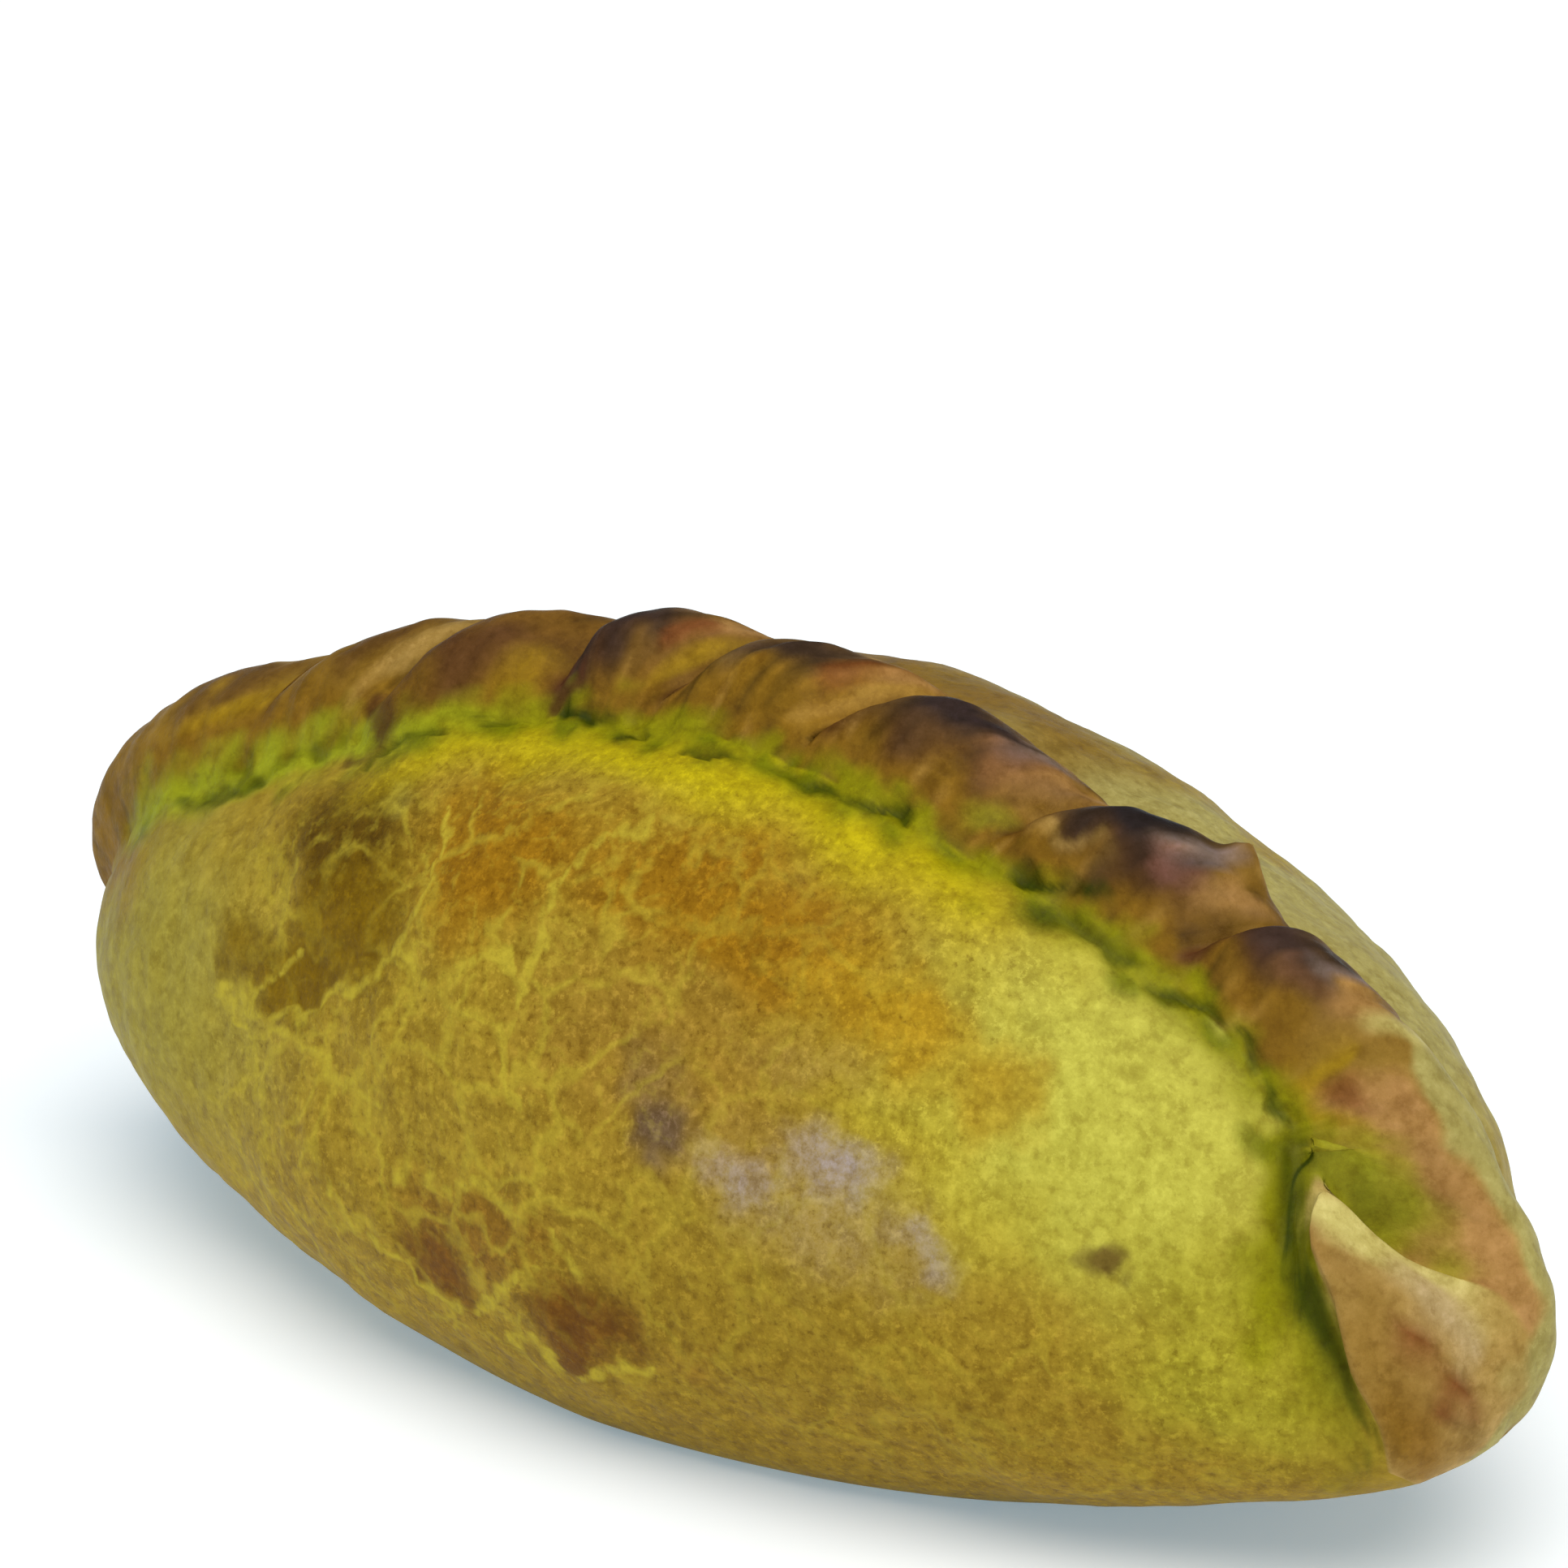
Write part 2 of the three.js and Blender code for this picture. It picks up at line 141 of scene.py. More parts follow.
# Folds from left to right: start on the ridge and at the front foot as shares of the seam,
# crest height, depth of the gap before the fold, and how much its start is smoothed away
FOLDS = np.array([
    (0.000, 0.000, 1.00, 0.00, 0.00),
    (0.195, 0.180, 0.90, 0.08, 0.45),
    (0.303, 0.260, 0.76, 0.16, 0.00),
    (0.352, 0.357, 1.20, 0.20, 0.00),
    (0.452, 0.406, 1.02, 0.15, 0.00),
    (0.532, 0.494, 1.10, 0.15, 0.00),
    (0.616, 0.596, 1.15, 0.15, 0.00),
    (0.706, 0.696, 1.10, 0.15, 0.00),
    (0.769, 0.768, 0.95, 0.10, 1.00),
    (0.915, 0.803, 1.15, 0.45, 1.00),
])
RIDGE, FOOT, RISE, DIP, SOFT = FOLDS.T
LAST = len(FOLDS) - 1
BEFORE_CURL = LAST - 1

# Mesh fineness, and how the loops and steps crowd
LOOPS_PER_SEAM = 340
BELLY_STEPS = 210
ROPE_STEPS = 74
SEAM_SAMPLES = 2001
START_CROWDING = 1.35
TIP_CROWDING = 1.6
FIRST_TIP_SHARE = 0.5
LAST_TIP_SHARE = 0.65
CREASE_CROWDING = 0.1

# A turn in radians, a guard against division by zero, and a millimetre in metres
SMALL_TURN = 1e-3
TINY = 1e-9
MILLIMETRE = 0.001

# Random relief on the skin: strength, wavelength in millimetres and seed
WAVES = 28
WAVE_RATES = (0.7, 1.4)
BROAD_LUMPS = (0.28, 24, 1)
MIDDLE_LUMPS = (0.10, 9, 2)
SMALL_LUMPS = (0.035, 3.2, 3)
CREASE_LUMPS = (1.0, 4.2, 4)
CREASE_GRAIN = (0.5, 1.9, 5)
ROPE_RIDGES = (0.10, 2.6, 6)
ROPE_LINES = (0.05, 1.2, 7)

# Random shifts of the paint's edges, in the same form
BEND_ALONG = (0.5, 5, 8)
BEND_UP = (0.35, 3, 9)
THINNING = (1.0, 3.5, 10)
SHIFT_X = (0.6, 7, 11)
SHIFT_X_FINE = (0.25, 2.0, 12)
SHIFT_Z = (0.4, 7, 13)
SHIFT_Z_FINE = (0.25, 2.0, 14)
BELLY_PATCHES = (1.0, 11, 15)
GREEN_EDGE = (0.3, 2.2, 16)
TOASTED_PLACES = (1.0, 30, 17)
ROPE_SHIFT = (0.07, 5, 18)
STREAKS = (0.7, 2.0, 19)
FINE_STREAKS = (0.5, 0.9, 20)
GREEN_PATCHES = (1.0, 4.5, 21)
SPOT_PLACES = (1.0, 14, 22)


def smooth(pair, value):
    """Zero before the pair's first number and one past its second, S-shaped between; the first may be
    the larger."""
    start, end = pair
    t = np.clip((value - start) / (end - start), 0, 1)
    return t * t * (3 - 2 * t)


def mix(a, b, share):
    """Straight blend from a to b."""
    return a + (b - a) * share


def soft_min(a, b):
    """The smaller of two lengths with a rounded change: their product over the fourth root of the sum
    of their fourth powers."""
    return a * b / (a ** 4 + b ** 4 + TINY) ** 0.25


def bell(value, middle, width):
    """One at the middle, falling off on both sides as a Gaussian curve."""
    return np.exp(-((value - middle) / width) ** 2)


def rest_on_floor(z):
    """Heights below the blend become zero, those above stay, and a parabola joins the two."""
    curve = (z + FLOOR_BLEND) ** 2 / (4 * FLOOR_BLEND)
    return np.where(z > FLOOR_BLEND, z, np.where(z < -FLOOR_BLEND, 0.0, curve))


def lumps(points, noise):
    """Even random relief of a strength, wavelength and seed: a sum of plane waves with random
    directions, lengths and phases."""
    strength, wavelength, seed = noise
    draw = np.random.default_rng(seed)
    heading = draw.normal(size=(WAVES, 3))
    heading /= np.linalg.norm(heading, axis=1, keepdims=True)
    rate = 2 * np.pi / wavelength * draw.uniform(*WAVE_RATES, WAVES)
    phase = draw.uniform(0, 2 * np.pi, WAVES)
    total = np.zeros(points.shape[:-1])
    for k in range(WAVES):
        total += np.sin(points @ heading[k] * rate[k] + phase[k])
    return strength * math.sqrt(2 / WAVES) * total


def full_end(z):
    """How much the right end is widened at a height: nothing high up, all of it low down."""
    return FULL_END * smooth(FULL_END_HEIGHTS, z)


def profile(angle):
    """Side profile of the body: a superellipse with pointed tips, its upper and lower halves of unlike
    height, pushed out low down at the right by the square of the distance past a place."""
    c, s = np.cos(angle), np.sin(angle)
    z = WIDEST_AT + np.where(s > 0, BODY_TOP - WIDEST_AT, UNDERSIDE) * s
    x = HALF_LENGTH * np.sign(c) * np.abs(c) ** TIP_TAPER
    return np.stack([x + full_end(z) * np.maximum(x - FULL_END_FROM, 0) ** 2, z], -1)


def belly_share(place):
    """Share of the belly's full reach at a place in the side profile: the root of what the profile
    leaves free."""
    x, z = place[..., 0], place[..., 1]
    past = np.maximum(x - FULL_END_FROM, 0)
    x = x - past + 2 * past / (1 + np.sqrt(1 + 4 * full_end(z) * past))
    above, below = (z - WIDEST_AT) / (BODY_TOP - WIDEST_AT), (WIDEST_AT - z) / UNDERSIDE
    level = np.where(z > WIDEST_AT, above, below)
    filled = np.abs(x / HALF_LENGTH) ** (2 / TIP_TAPER) + level ** 2
    return np.sqrt(np.clip(1 - filled, 0, None))


SEAM_SPAN = SEAM_END - SEAM_START
seam_steps = np.linspace(0, 1, SEAM_SAMPLES)
seam_points = profile(SEAM_START + SEAM_SPAN * seam_steps)
seam_run = np.concatenate([[0], np.cumsum(np.linalg.norm(np.diff(seam_points, axis=0), axis=1))])
SEAM_LENGTH = seam_run[-1]


def section(share):
    """Seam point, keel point opposite it, direction along the seam, and the belly share half-way
    between seam and keel."""
    u = np.interp(share, seam_run / SEAM_LENGTH, seam_steps)
    angle = SEAM_START + SEAM_SPAN * u
    seam = profile(angle)
    keel = profile(SEAM_START + (2 * np.pi + SEAM_SPAN) * u)
    along = profile(angle - SMALL_TURN) - profile(angle + SMALL_TURN)
    along /= np.linalg.norm(along, axis=-1, keepdims=True)
    return seam, keel, along, belly_share((seam + keel) / 2)


def front_foot_at(share, full):
    """Distance of the front foot from the seam: broad at the left, slim at the right, broad under the
    curl, and never more than a part of the belly's reach."""
    width = mix(FOOT_LEFT, FOOT_MIDDLE, smooth(FOOT_NARROWS, share))
    width = width + (FOOT_RIGHT - FOOT_MIDDLE) * smooth(FOOT_SLIMS, share)
    width = width + (FOOT_END - FOOT_RIGHT) * smooth(FOOT_BROADENS, share)
    width = width + CURL_LOBE * bell(share, CURL_LOBE_AT, CURL_WAVE)
    width = width - CURL_WAIST * bell(share, CURL_WAIST_AT, CURL_WAVE)
    limit = mix(FOOT_LIMIT_FRONT, FOOT_LIMIT_END, smooth(FOOT_FREED, share))
    return soft_min(width, limit * BELLY_FRONT * full)


def back_foot_at(share, full):
    """Distance of the back foot from the seam: broader at the right end, and limited like the front."""
    width = mix(FOOT_BACK, FOOT_BACK_END, smooth(BACK_FOOT_BROADENS, share))
    return soft_min(width, FOOT_LIMIT_BACK * BELLY_BACK * full)


def foot_angle(foot, reach, full):
    """Angle of a foot round the section."""
    return np.arcsin(np.clip(foot / np.maximum(reach * full, TINY), 0, FOOT_SINE_LIMIT))


def fold_loops():
    """Loops round the piece, each with its fold, its place q across the fold and its place along the
    seam. They lie closer together at each fold's start and at both tips."""
    number, place = [], []
    for i, (start, end) in enumerate(zip(RIDGE, [*RIDGE[1:], 1.0])):
        t = np.arange(round(LOOPS_PER_SEAM * (end - start)))
        t = t / len(t)
        q = t ** START_CROWDING
        if i == 0:
            q = mix(t ** TIP_CROWDING, 1 - np.cos(t * np.pi / 2), FIRST_TIP_SHARE)
        if i == LAST:
            q = mix(q, np.sin(t * np.pi / 2) ** START_CROWDING, LAST_TIP_SHARE)
        number.append(np.full(len(t), i))
        place.append(q)
    number = np.concatenate([*number, [LAST]])
    q = np.concatenate([*place, [1.0]])
    ends = np.append(RIDGE[1:], 1.0)
    return number[:, None], q[:, None], mix(RIDGE[number], ends[number], q)[:, None]


def crest_of(number, q):
    """Height across a fold: a power of a sine, so it is full and starts steeply; the first fold starts
    high."""
    crest = np.maximum(np.sin(np.pi * q ** CREST_PLACE), 0) ** CREST_FULL
    first = np.sin(np.pi * ((1 + q) / 2) ** FIRST_PLACE)
    return np.where(number == 0, mix(crest, first, FIRST_BLEND), crest)


def border_joins(number, q, joined):
    """How much a fold is smoothed into the one before and the one after it; the curl's border only
    where joined."""
    before = SOFT[number] * np.where(number == LAST, joined, 1)
    after = np.append(SOFT[1:], 0)[number] * np.where(number == BEFORE_CURL, joined, 1)
    return before * smooth(JOIN_START, q), after * smooth(JOIN_END, q)


def across_borders(values, number, join_before, join_after):
    """Each fold's value, shared half and half with its neighbour where the border between them is
    smoothed away."""
    before = np.concatenate([values[:1], values[:-1]])
    after = np.concatenate([values[1:], values[-1:]])
    here = values[number]
    return here + (join_before * (before[number] - here) + join_after * (after[number] - here)) / 2


def loop_feet(label):
    """How far each loop's front and back foot lie askew of its ridge along the seam, the feet's
    distances from the seam and their angles round the section."""
    slant = np.interp(label, np.append(RIDGE, 1.0), np.append(RIDGE - FOOT, 0.0))
    back_slant = BACK_SLANT * smooth(BACK_SLANT_GROWS, label) * smooth(BACK_SLANT_GROWS, 1 - label)
    front_full = section(label - slant)[3]
    back_full = section(label + back_slant)[3]
    front_foot = front_foot_at(label - slant, front_full)
    back_foot = back_foot_at(label + back_slant, back_full)
    return {
        "slant": slant,
        "back_slant": back_slant,
        "front": front_foot,
        "back": back_foot,
        "front_angle": foot_angle(front_foot, BELLY_FRONT, front_full),
        "back_angle": foot_angle(back_foot, BELLY_BACK, back_full),
    }


def belly_part(number, q, label, feet):
    """Belly points of each loop, whether they are in front, and how far they lie from the crease.
    They run from the front crease under the belly to the back crease along an ellipse between seam and
    keel, and are pressed in near the creases, most beside the curl and under the gaps."""
    v = np.linspace(0, 1, BELLY_STEPS)[None, :]
    v = v - CREASE_CROWDING * np.sin(2 * np.pi * v) / np.pi
    turn = mix(feet["front_angle"], 2 * np.pi - feet["back_angle"], v)
    turn = np.where(turn > np.pi, turn - 2 * np.pi, turn)
    front = turn > 0
    from_front = np.clip(1 - v / SLANT_REACH, 0, 1) ** 2
    from_back = np.clip(1 - (1 - v) / SLANT_REACH, 0, 1) ** 2
    here = label - feet["slant"] * from_front + feet["back_slant"] * from_back
    seam, keel, _, full = section(here)
    middle = (seam + keel) / 2
    place = keel + (seam - keel) * ((1 + np.cos(turn)) / 2)[..., None]
    reach = np.where(front, BELLY_FRONT, BELLY_BACK)
    y = -np.sign(turn) * belly_share(place) * reach
    belly = np.stack([place[..., 0], y, place[..., 1]], -1)
    inward = np.stack([middle[..., 0], 0 * y, middle[..., 1]], -1) - belly
    inward /= np.maximum(np.linalg.norm(inward, axis=-1, keepdims=True), TINY)

    front_start = foot_angle(front_foot_at(here, full), BELLY_FRONT, full)
    back_start = foot_angle(back_foot_at(here, full), BELLY_BACK, full)
    away = np.maximum(np.where(front, turn - front_start, -turn - back_start), 0) * full * reach
    near_curl = smooth(CURL_CREASE_GROWS, here) * smooth(CURL_CREASE_FADES, here) * front
    valley = CREASE_DEPTH + CURL_CREASE_DEPTH * near_curl
    valley = valley * np.exp(-away / (CREASE_REACH + CURL_CREASE_REACH * near_curl))
    hollow = 1 - np.sin(np.pi * q ** CREST_PLACE)
    hollow = hollow * (1 - sum(border_joins(number, q, 1)))
    pit = CREASE_PIT * hollow * np.exp(-away / PIT_REACH)
    strength = np.clip(full / TIP_FADE, 0, 1) * smooth(END_SINKS, here)
    return belly + inward * ((valley + pit) * strength)[..., None], front, away


def rope_part(number, q, label, feet, belly):
    """Rope points of each loop, their places across the rope, their border joins and the rope's
    half arc in millimetres. They run from the back crease to the front crease along an arc between the
    two feet, raised by the folds' crests, lowered in the gaps and the pocket, and pushed along the seam
    by the folds' lips."""
    share = np.linspace(-1, 1, ROPE_STEPS)[None, 1:-1]
    angle = share * ROPE_HALF_ANGLE
    facing = smooth(FRONT_FROM_BACK, share)
    power = np.where(share > 0, WHOLE_POWER_FRONT, WHOLE_POWER_BACK)
    whole = np.cos(np.abs(share) * np.pi / 2) ** power
    high_only = np.where(share > 0, smooth(STAND_OUT, share), whole)
    hold = mix(high_only, whole, smooth(WHOLE_AT_CURL, label))
    join_before, join_after = border_joins(number, q, smooth(CURL_JOINS_AT_BACK, share))
    fill = join_before + join_after
    crest = crest_of(number, q)
    crest_here = mix(crest, FILL_LEVEL, fill)
    rise = across_borders(RISE, number, join_before, join_after)
    curl = smooth(CURL_GROWS, label) * smooth(CURL_FADES, label)
    thick = np.minimum((feet["front"] + feet["back"]) / (FOOT_MIDDLE + FOOT_BACK), THICKEST)
    thick_rise = ROPE_RISE * thick ** THICK_POWER
    tall = 1 + END_EXTRA * (smooth(TALLER_LEFT, label) + smooth(TALLER_RIGHT, label))

    gap_before = DIP[number] * smooth(GAP_AFTER_START, q)
    gap_after = np.append(DIP[1:], 0)[number] * smooth(GAP_BEFORE_END, q)
    gap = (gap_before + gap_after) * mix(GAP_ON_BACK, 1, facing) * (1 - fill)
    pocket = (number == BEFORE_CURL) * smooth(POCKET_ALONG, q) * smooth(POCKET_ACROSS, share)
    base = mix(GAP_LEVEL_BACK, GAP_LEVEL_FRONT, facing)
    raised = mix(RELIEF_BACK, RELIEF_FRONT, facing) * rise * crest_here
    factor = 1 + hold * (base + raised - gap - POCKET_DEPTH * pocket - 1)
    bulge = hold * (FOLD_BULGE * crest_here - GAP_PINCH)
    puffed = CURL_BULGE * curl * crest * smooth(PUFF_OVER_FOOT, share) * smooth(PUFF_UNDER_RIDGE, share)
    side = np.sin(angle) / math.sin(ROPE_HALF_ANGLE) * (1 + bulge + puffed)
    arch = (np.cos(angle) - math.cos(ROPE_HALF_ANGLE)) / (1 - math.cos(ROPE_HALF_ANGLE))
    up = thick_rise * arch * factor * tall * smooth(END_SINKS, label)
    up = up + NUB_HEIGHT * bell(label, NUB_PLACE, NUB_LENGTH) * bell(share, NUB_SHARE, NUB_WIDTH)
    lip = -(FOLD_LIP + CURL_LIP * curl) * hold * crest * (1 - q) * np.minimum(thick, 1) * (1 - fill)

    along = section(label)[2]
    foot_front, foot_back = belly[:, :1], belly[:, -1:]
    rope = (foot_front + foot_back) / 2 + (foot_front - foot_back) / 2 * side[..., None]
    rope[..., 0] += -along[..., 1] * up + along[..., 0] * lip
    rope[..., 2] += along[..., 0] * up + along[..., 1] * lip
    half_arc = (feet["front"] + feet["back"]) / 2 + thick_rise
    return rope, share, join_before, join_after, half_arc


def pastry_surface():
    """Points of the whole skin on a grid of loops and steps round each loop, and a guide to where each
    lies. A loop is an ellipse between seam and keel pressed in near the creases, its belly part, and
    then an arc between its two feet raised by the folds' crests, its rope part."""
    number, q, label = fold_loops()
    feet = loop_feet(label)
    belly, front, away = belly_part(number, q, label, feet)
    rope, share, join_before, join_after, half_arc = rope_part(number, q, label, feet, belly)
    points = np.concatenate([belly, rope], 1)
    points[..., 2] = rest_on_floor(points[..., 2])
    points[..., 1] += LEAN * points[..., 2]
    belly_none, rope_all = np.zeros_like(away), np.ones_like(q * share)
    on_both = {
        "climb": (-away, (1 - np.abs(share)) * half_arc),
        "on_rope": (belly_none, rope_all),
        "front": (front * 1.0, (share > 0) * rope_all),
        "share": (np.where(front, 1.0, -1.0), share * rope_all),
        "join_before": (belly_none, join_before * rope_all),
        "join_after": (belly_none, join_after * rope_all),
    }
    by_loop = {"q": q, "number": number, "label": label}
    by_loop["tip"] = np.clip(section(label)[3] / TIP_FADE, 0, 1)
    guide = {name: np.concatenate(parts, 1) for name, parts in on_both.items()}
    guide.update({name: np.broadcast_to(value, points.shape[:2]) for name, value in by_loop.items()})
    return points, guide


def grid_normals(points):
    """Outward directions: the cross product of the grid's two directions, of which the second closes
    round the loop."""
    along = np.gradient(points, axis=0)
    around = (np.roll(points, -1, 1) - np.roll(points, 1, 1)) / 2
    normal = np.cross(around, along)
    return normal / np.maximum(np.linalg.norm(normal, axis=-1, keepdims=True), TINY)


# Rounding of the crease: its reach in millimetres, passes, step, and how little is left at the curl
ROUNDING_REACH = 1.8
ROUNDING_PASSES = 30
ROUNDING_STEP = 0.5
SHARPER_ALONG = (0.80, 0.88)
ROUNDING_AT_CURL = 0.1


def rounded_crease(points, guide):
    """Points beside the front foot drawn towards the mean of their neighbours round the loop, many
    times over, so the crease becomes a soft hollow; it stays sharper beside the curl."""
    near = bell(guide["climb"], 0, ROUNDING_REACH) * guide["front"]
    near = near * mix(1.0, ROUNDING_AT_CURL, smooth(SHARPER_ALONG, guide["label"]))
    for _ in range(ROUNDING_PASSES):
        middle = (np.roll(points, 1, 1) + np.roll(points, -1, 1)) / 2
        points = points + ROUNDING_STEP * near[..., None] * (middle - points)
    return points


# Dark cracks along the crease, carved into the relief short of the curl, their darkness painted shade:
# strength, half width in millimetres, and the places it runs through, each a share of the seam and
# millimetres up from the foot
CRACKS = [
    (0.60, 1.3, [(0.145, -0.7), (0.181, -1.4), (0.221, -1.9)]),
    (0.80, 0.9, [(0.272, -1.5), (0.277, -0.6)]),
    (0.70, 0.9, [(0.314, -2.9), (0.319, -0.8), (0.337, 0.2), (0.348, -0.4)]),
    (1.00, 1.1, [(0.369, 0.9), (0.400, 0.4), (0.418, -0.4), (0.460, -1.5)]),
    (0.80, 1.0, [(0.488, -2.4), (0.516, -1.6), (0.546, -1.0), (0.560, -1.4)]),
    (0.90, 1.0, [(0.566, -1.5), (0.575, -0.8), (0.589, 0.3)]),
    (1.00, 1.3, [(0.638, 1.0), (0.650, 1.6), (0.664, 2.9)]),
    (0.70, 2.6, [(0.655, -1.8), (0.687, -0.2)]),
    (0.75, 0.9, [(0.707, -1.9), (0.726, 0.4), (0.739, 1.1), (0.750, 0.4)]),
    (0.80, 0.8, [(0.750, 0.2), (0.780, -0.4), (0.830, -0.2), (0.866, 0.6)]),
    (1.00, 1.1, [(0.884, 1.6), (0.892, 2.6), (0.903, -0.3)]),
    (0.80, 1.4, [(0.903, -0.5), (0.907, -1.4), (0.921, -1.2), (0.938, -0.6)]),
    (0.70, 1.0, [(0.938, -0.6), (0.948, -0.4), (0.957, -0.2)]),
]

# Painted shade in the crease below the leading edges of the third and fourth folds, in the same form
EDGE_SHADE_STROKES = [
    (0.75, 1.5, [(0.308, -1.8), (0.304, 1.9), (0.303, 3.4), (0.297, 5.4)]),
    (0.80, 1.6, [(0.356, 1.0), (0.366, 2.4), (0.376, 3.6)]),
]
STROKE_CORE = 0.1
STROKE_THINNED = (-1.6, 0.2)
CORNER_CUT = 0.25
CORNER_ROUNDS = 2
FAR = 99.0


def rounded(stroke):
    """Stroke with its corners cut: each inner place gives way to two, a quarter of the way along the
    stretches on both sides of it."""
    places = np.array(stroke, float)
    for _ in range(CORNER_ROUNDS):
        first = mix(places[:-1], places[1:], CORNER_CUT)
        second = mix(places[:-1], places[1:], 1 - CORNER_CUT)
        cut = np.stack([first, second], 1).reshape(-1, 2)
        places = np.concatenate([places[:1], cut[1:-1], places[-1:]])
    return places


def stroke_distance(a, b, stroke):
    """Distance to a stroke on a plane: the least distance to any of its straight stretches."""
    nearest = np.full(a.shape, FAR)
    for (a0, b0), (a1, b1) in zip(stroke[:-1], stroke[1:]):
        square = (a1 - a0) ** 2 + (b1 - b0) ** 2
        t = np.clip(((a - a0) * (a1 - a0) + (b - b0) * (b1 - b0)) / square, 0, 1)
        nearest = np.minimum(nearest, np.hypot(a - a0 - t * (a1 - a0), b - b0 - t * (b1 - b0)))
    return nearest


def crease_strokes(points, guide, strokes):
    """A stroke's strength on its middle line and zero beyond its half width; noise bends and thins the
    strokes."""
    along = guide["label"] * SEAM_LENGTH + lumps(points, BEND_ALONG)
    climb = guide["climb"] + lumps(points, BEND_UP)
    thinned = smooth(STROKE_THINNED, lumps(points, THINNING))
    mask = np.zeros(along.shape)
    for strength, half_width, places in strokes:
        stroke = [(share * SEAM_LENGTH, height) for share, height in places]
        near = smooth((half_width, STROKE_CORE * half_width), stroke_distance(along, climb, stroke))
        mask = np.maximum(mask, strength * near)
    return mask * thinned * guide["front"]


# Rope grain: stretch across the rope and from fold to fold, in millimetres
GRAIN_ACROSS = 2.5
GRAIN_APART = 9.0

# Low relief: reach, depths and heights in millimetres, and places along the seam
RELIEF_OFF_FLOOR = (0.5, 5.0)
CREASE_RELIEF_REACH = 2.2
CREASE_RELIEF = 0.16
CREASE_RELIEF_LEAST = -0.3
CRACK_DEPTH = 0.6
CRACK_DEPTH_ALONG = (0.88, 0.84)

# The left folds are smoother than the others
CALM_FOLDS = 4
CALM_RIDGES = 0.45
CALM_STREAKS = 0.55


def rope_grain(guide):
    """Places in which noise becomes streaks along each fold: close across the fold and long up and down
    it."""
    along = guide["label"] * SEAM_LENGTH
    return np.stack([along, guide["share"] * GRAIN_ACROSS, guide["number"] * GRAIN_APART], -1)


def relief(points, normal, guide):
    """Points moved along their normals by uneven lumps, by small cracks along the crease and by ridges
    that run round the rope, lower on the left folds and before the curl; it all fades out towards the
    resting plane and the tips."""
    off_floor = smooth(RELIEF_OFF_FLOOR, points[..., 2])
    crease = bell(guide["climb"], 0, CREASE_RELIEF_REACH) * guide["front"]
    height = lumps(points, BROAD_LUMPS) + lumps(points, MIDDLE_LUMPS) + lumps(points, SMALL_LUMPS)
    broken = np.maximum(lumps(points, CREASE_LUMPS) + lumps(points, CREASE_GRAIN), CREASE_RELIEF_LEAST)
    height -= CREASE_RELIEF * crease * broken
    cracks = crease_strokes(points, guide, CRACKS) ** 2
    height -= CRACK_DEPTH * cracks * smooth(CRACK_DEPTH_ALONG, guide["label"])
    across = rope_grain(guide)
    joined = guide["join_before"] + guide["join_after"]
    calm = (guide["number"] < CALM_FOLDS) | (guide["number"] == BEFORE_CURL)
    ridged = guide["on_rope"] * (1 - joined) * np.where(calm, CALM_RIDGES, 1.0)
    height += ridged * (lumps(across, ROPE_RIDGES) + lumps(across, ROPE_LINES))
    return points + normal * (height * off_floor * guide["tip"])[..., None]


def linear(red, green, blue):
    """Screen colour from 0 to 255 as linear light, by the usual screen curve."""
    c = np.array([red, green, blue]) / 255
    return np.where(c <= 0.04045, c / 12.92, ((c + 0.055) / 1.055) ** 2.4)


# Belly colours
CRUST = linear(156, 127, 34)
LEFT_CRUST = linear(157, 141, 52)
LOWER_CRUST = linear(142, 112, 26)
PALE = linear(185, 176, 66)
STRAW = linear(174, 155, 36)
GOLDEN = linear(180, 160, 10)
CENTRE = linear(150, 115, 36)
TOASTED = linear(146, 102, 12)
ORANGE = linear(166, 126, 18)
OLIVE = linear(118, 88, 0)
SMUDGE = linear(94, 68, 8)
BROWN = linear(132, 92, 22)
DARK_BROWN = linear(112, 70, 14)
DARK_SPOT = linear(104, 80, 58)
GREENISH = linear(158, 147, 36)
TIP_BROWN = linear(137, 101, 18)
# Painted sheen: a lilac reflection laid over the front belly's colour
PAINTED_SHEEN_LILAC = linear(168, 154, 162)
VEIN_PALE = linear(195, 174, 52)

# Crease and rope colours
GREEN = linear(132, 126, 6)
LEFT_GREEN = linear(148, 150, 24)
DARK_GREEN = linear(98, 102, 0)
# Deep green, laid as painted shade in the valley beside the curl and in the cracks
DEEP_GREEN_SHADE = linear(44, 54, 0)
FOLD_BROWN = linear(126, 90, 16)
LEFT_BROWN = linear(126, 90, 0)
UMBER = linear(84, 52, 24)
BURNT = linear(50, 36, 32)
CHARRED = linear(38, 29, 27)
DARK_STRIPE = linear(60, 43, 18)
LIP_SHADE = linear(76, 42, 20)
RED_BROWN = linear(112, 58, 22)
PLUM = linear(122, 78, 66)
# Painted highlight: lilac sheen laid on the burnt crests of some folds
PAINTED_HIGHLIGHT_LILAC = linear(138, 118, 110)
TAN = linear(164, 130, 66)
PINK_TAN = linear(168, 124, 68)
PINK_BROWN = linear(134, 88, 52)
YELLOW_BROWN = linear(158, 124, 10)
PALE_STRAW = linear(200, 184, 106)
PINK_PALE = linear(178, 152, 106)
BACK_PALE = linear(168, 154, 86)
POCKET_GREEN = linear(152, 146, 30)
# Painted shadow in the pocket under the curl's lip
POCKET_SHADOW = linear(78, 78, 8)

# Ground colour of each fold from left to right
FOLD_COLOURS = np.array([
    linear(136, 102, 28),
    linear(130, 96, 28),
    linear(116, 80, 24),
    linear(122, 86, 30),
    linear(136, 98, 26),
    linear(126, 90, 26),
    linear(120, 86, 26),
    linear(116, 82, 28),
    linear(152, 118, 44),
    linear(176, 142, 78),
])
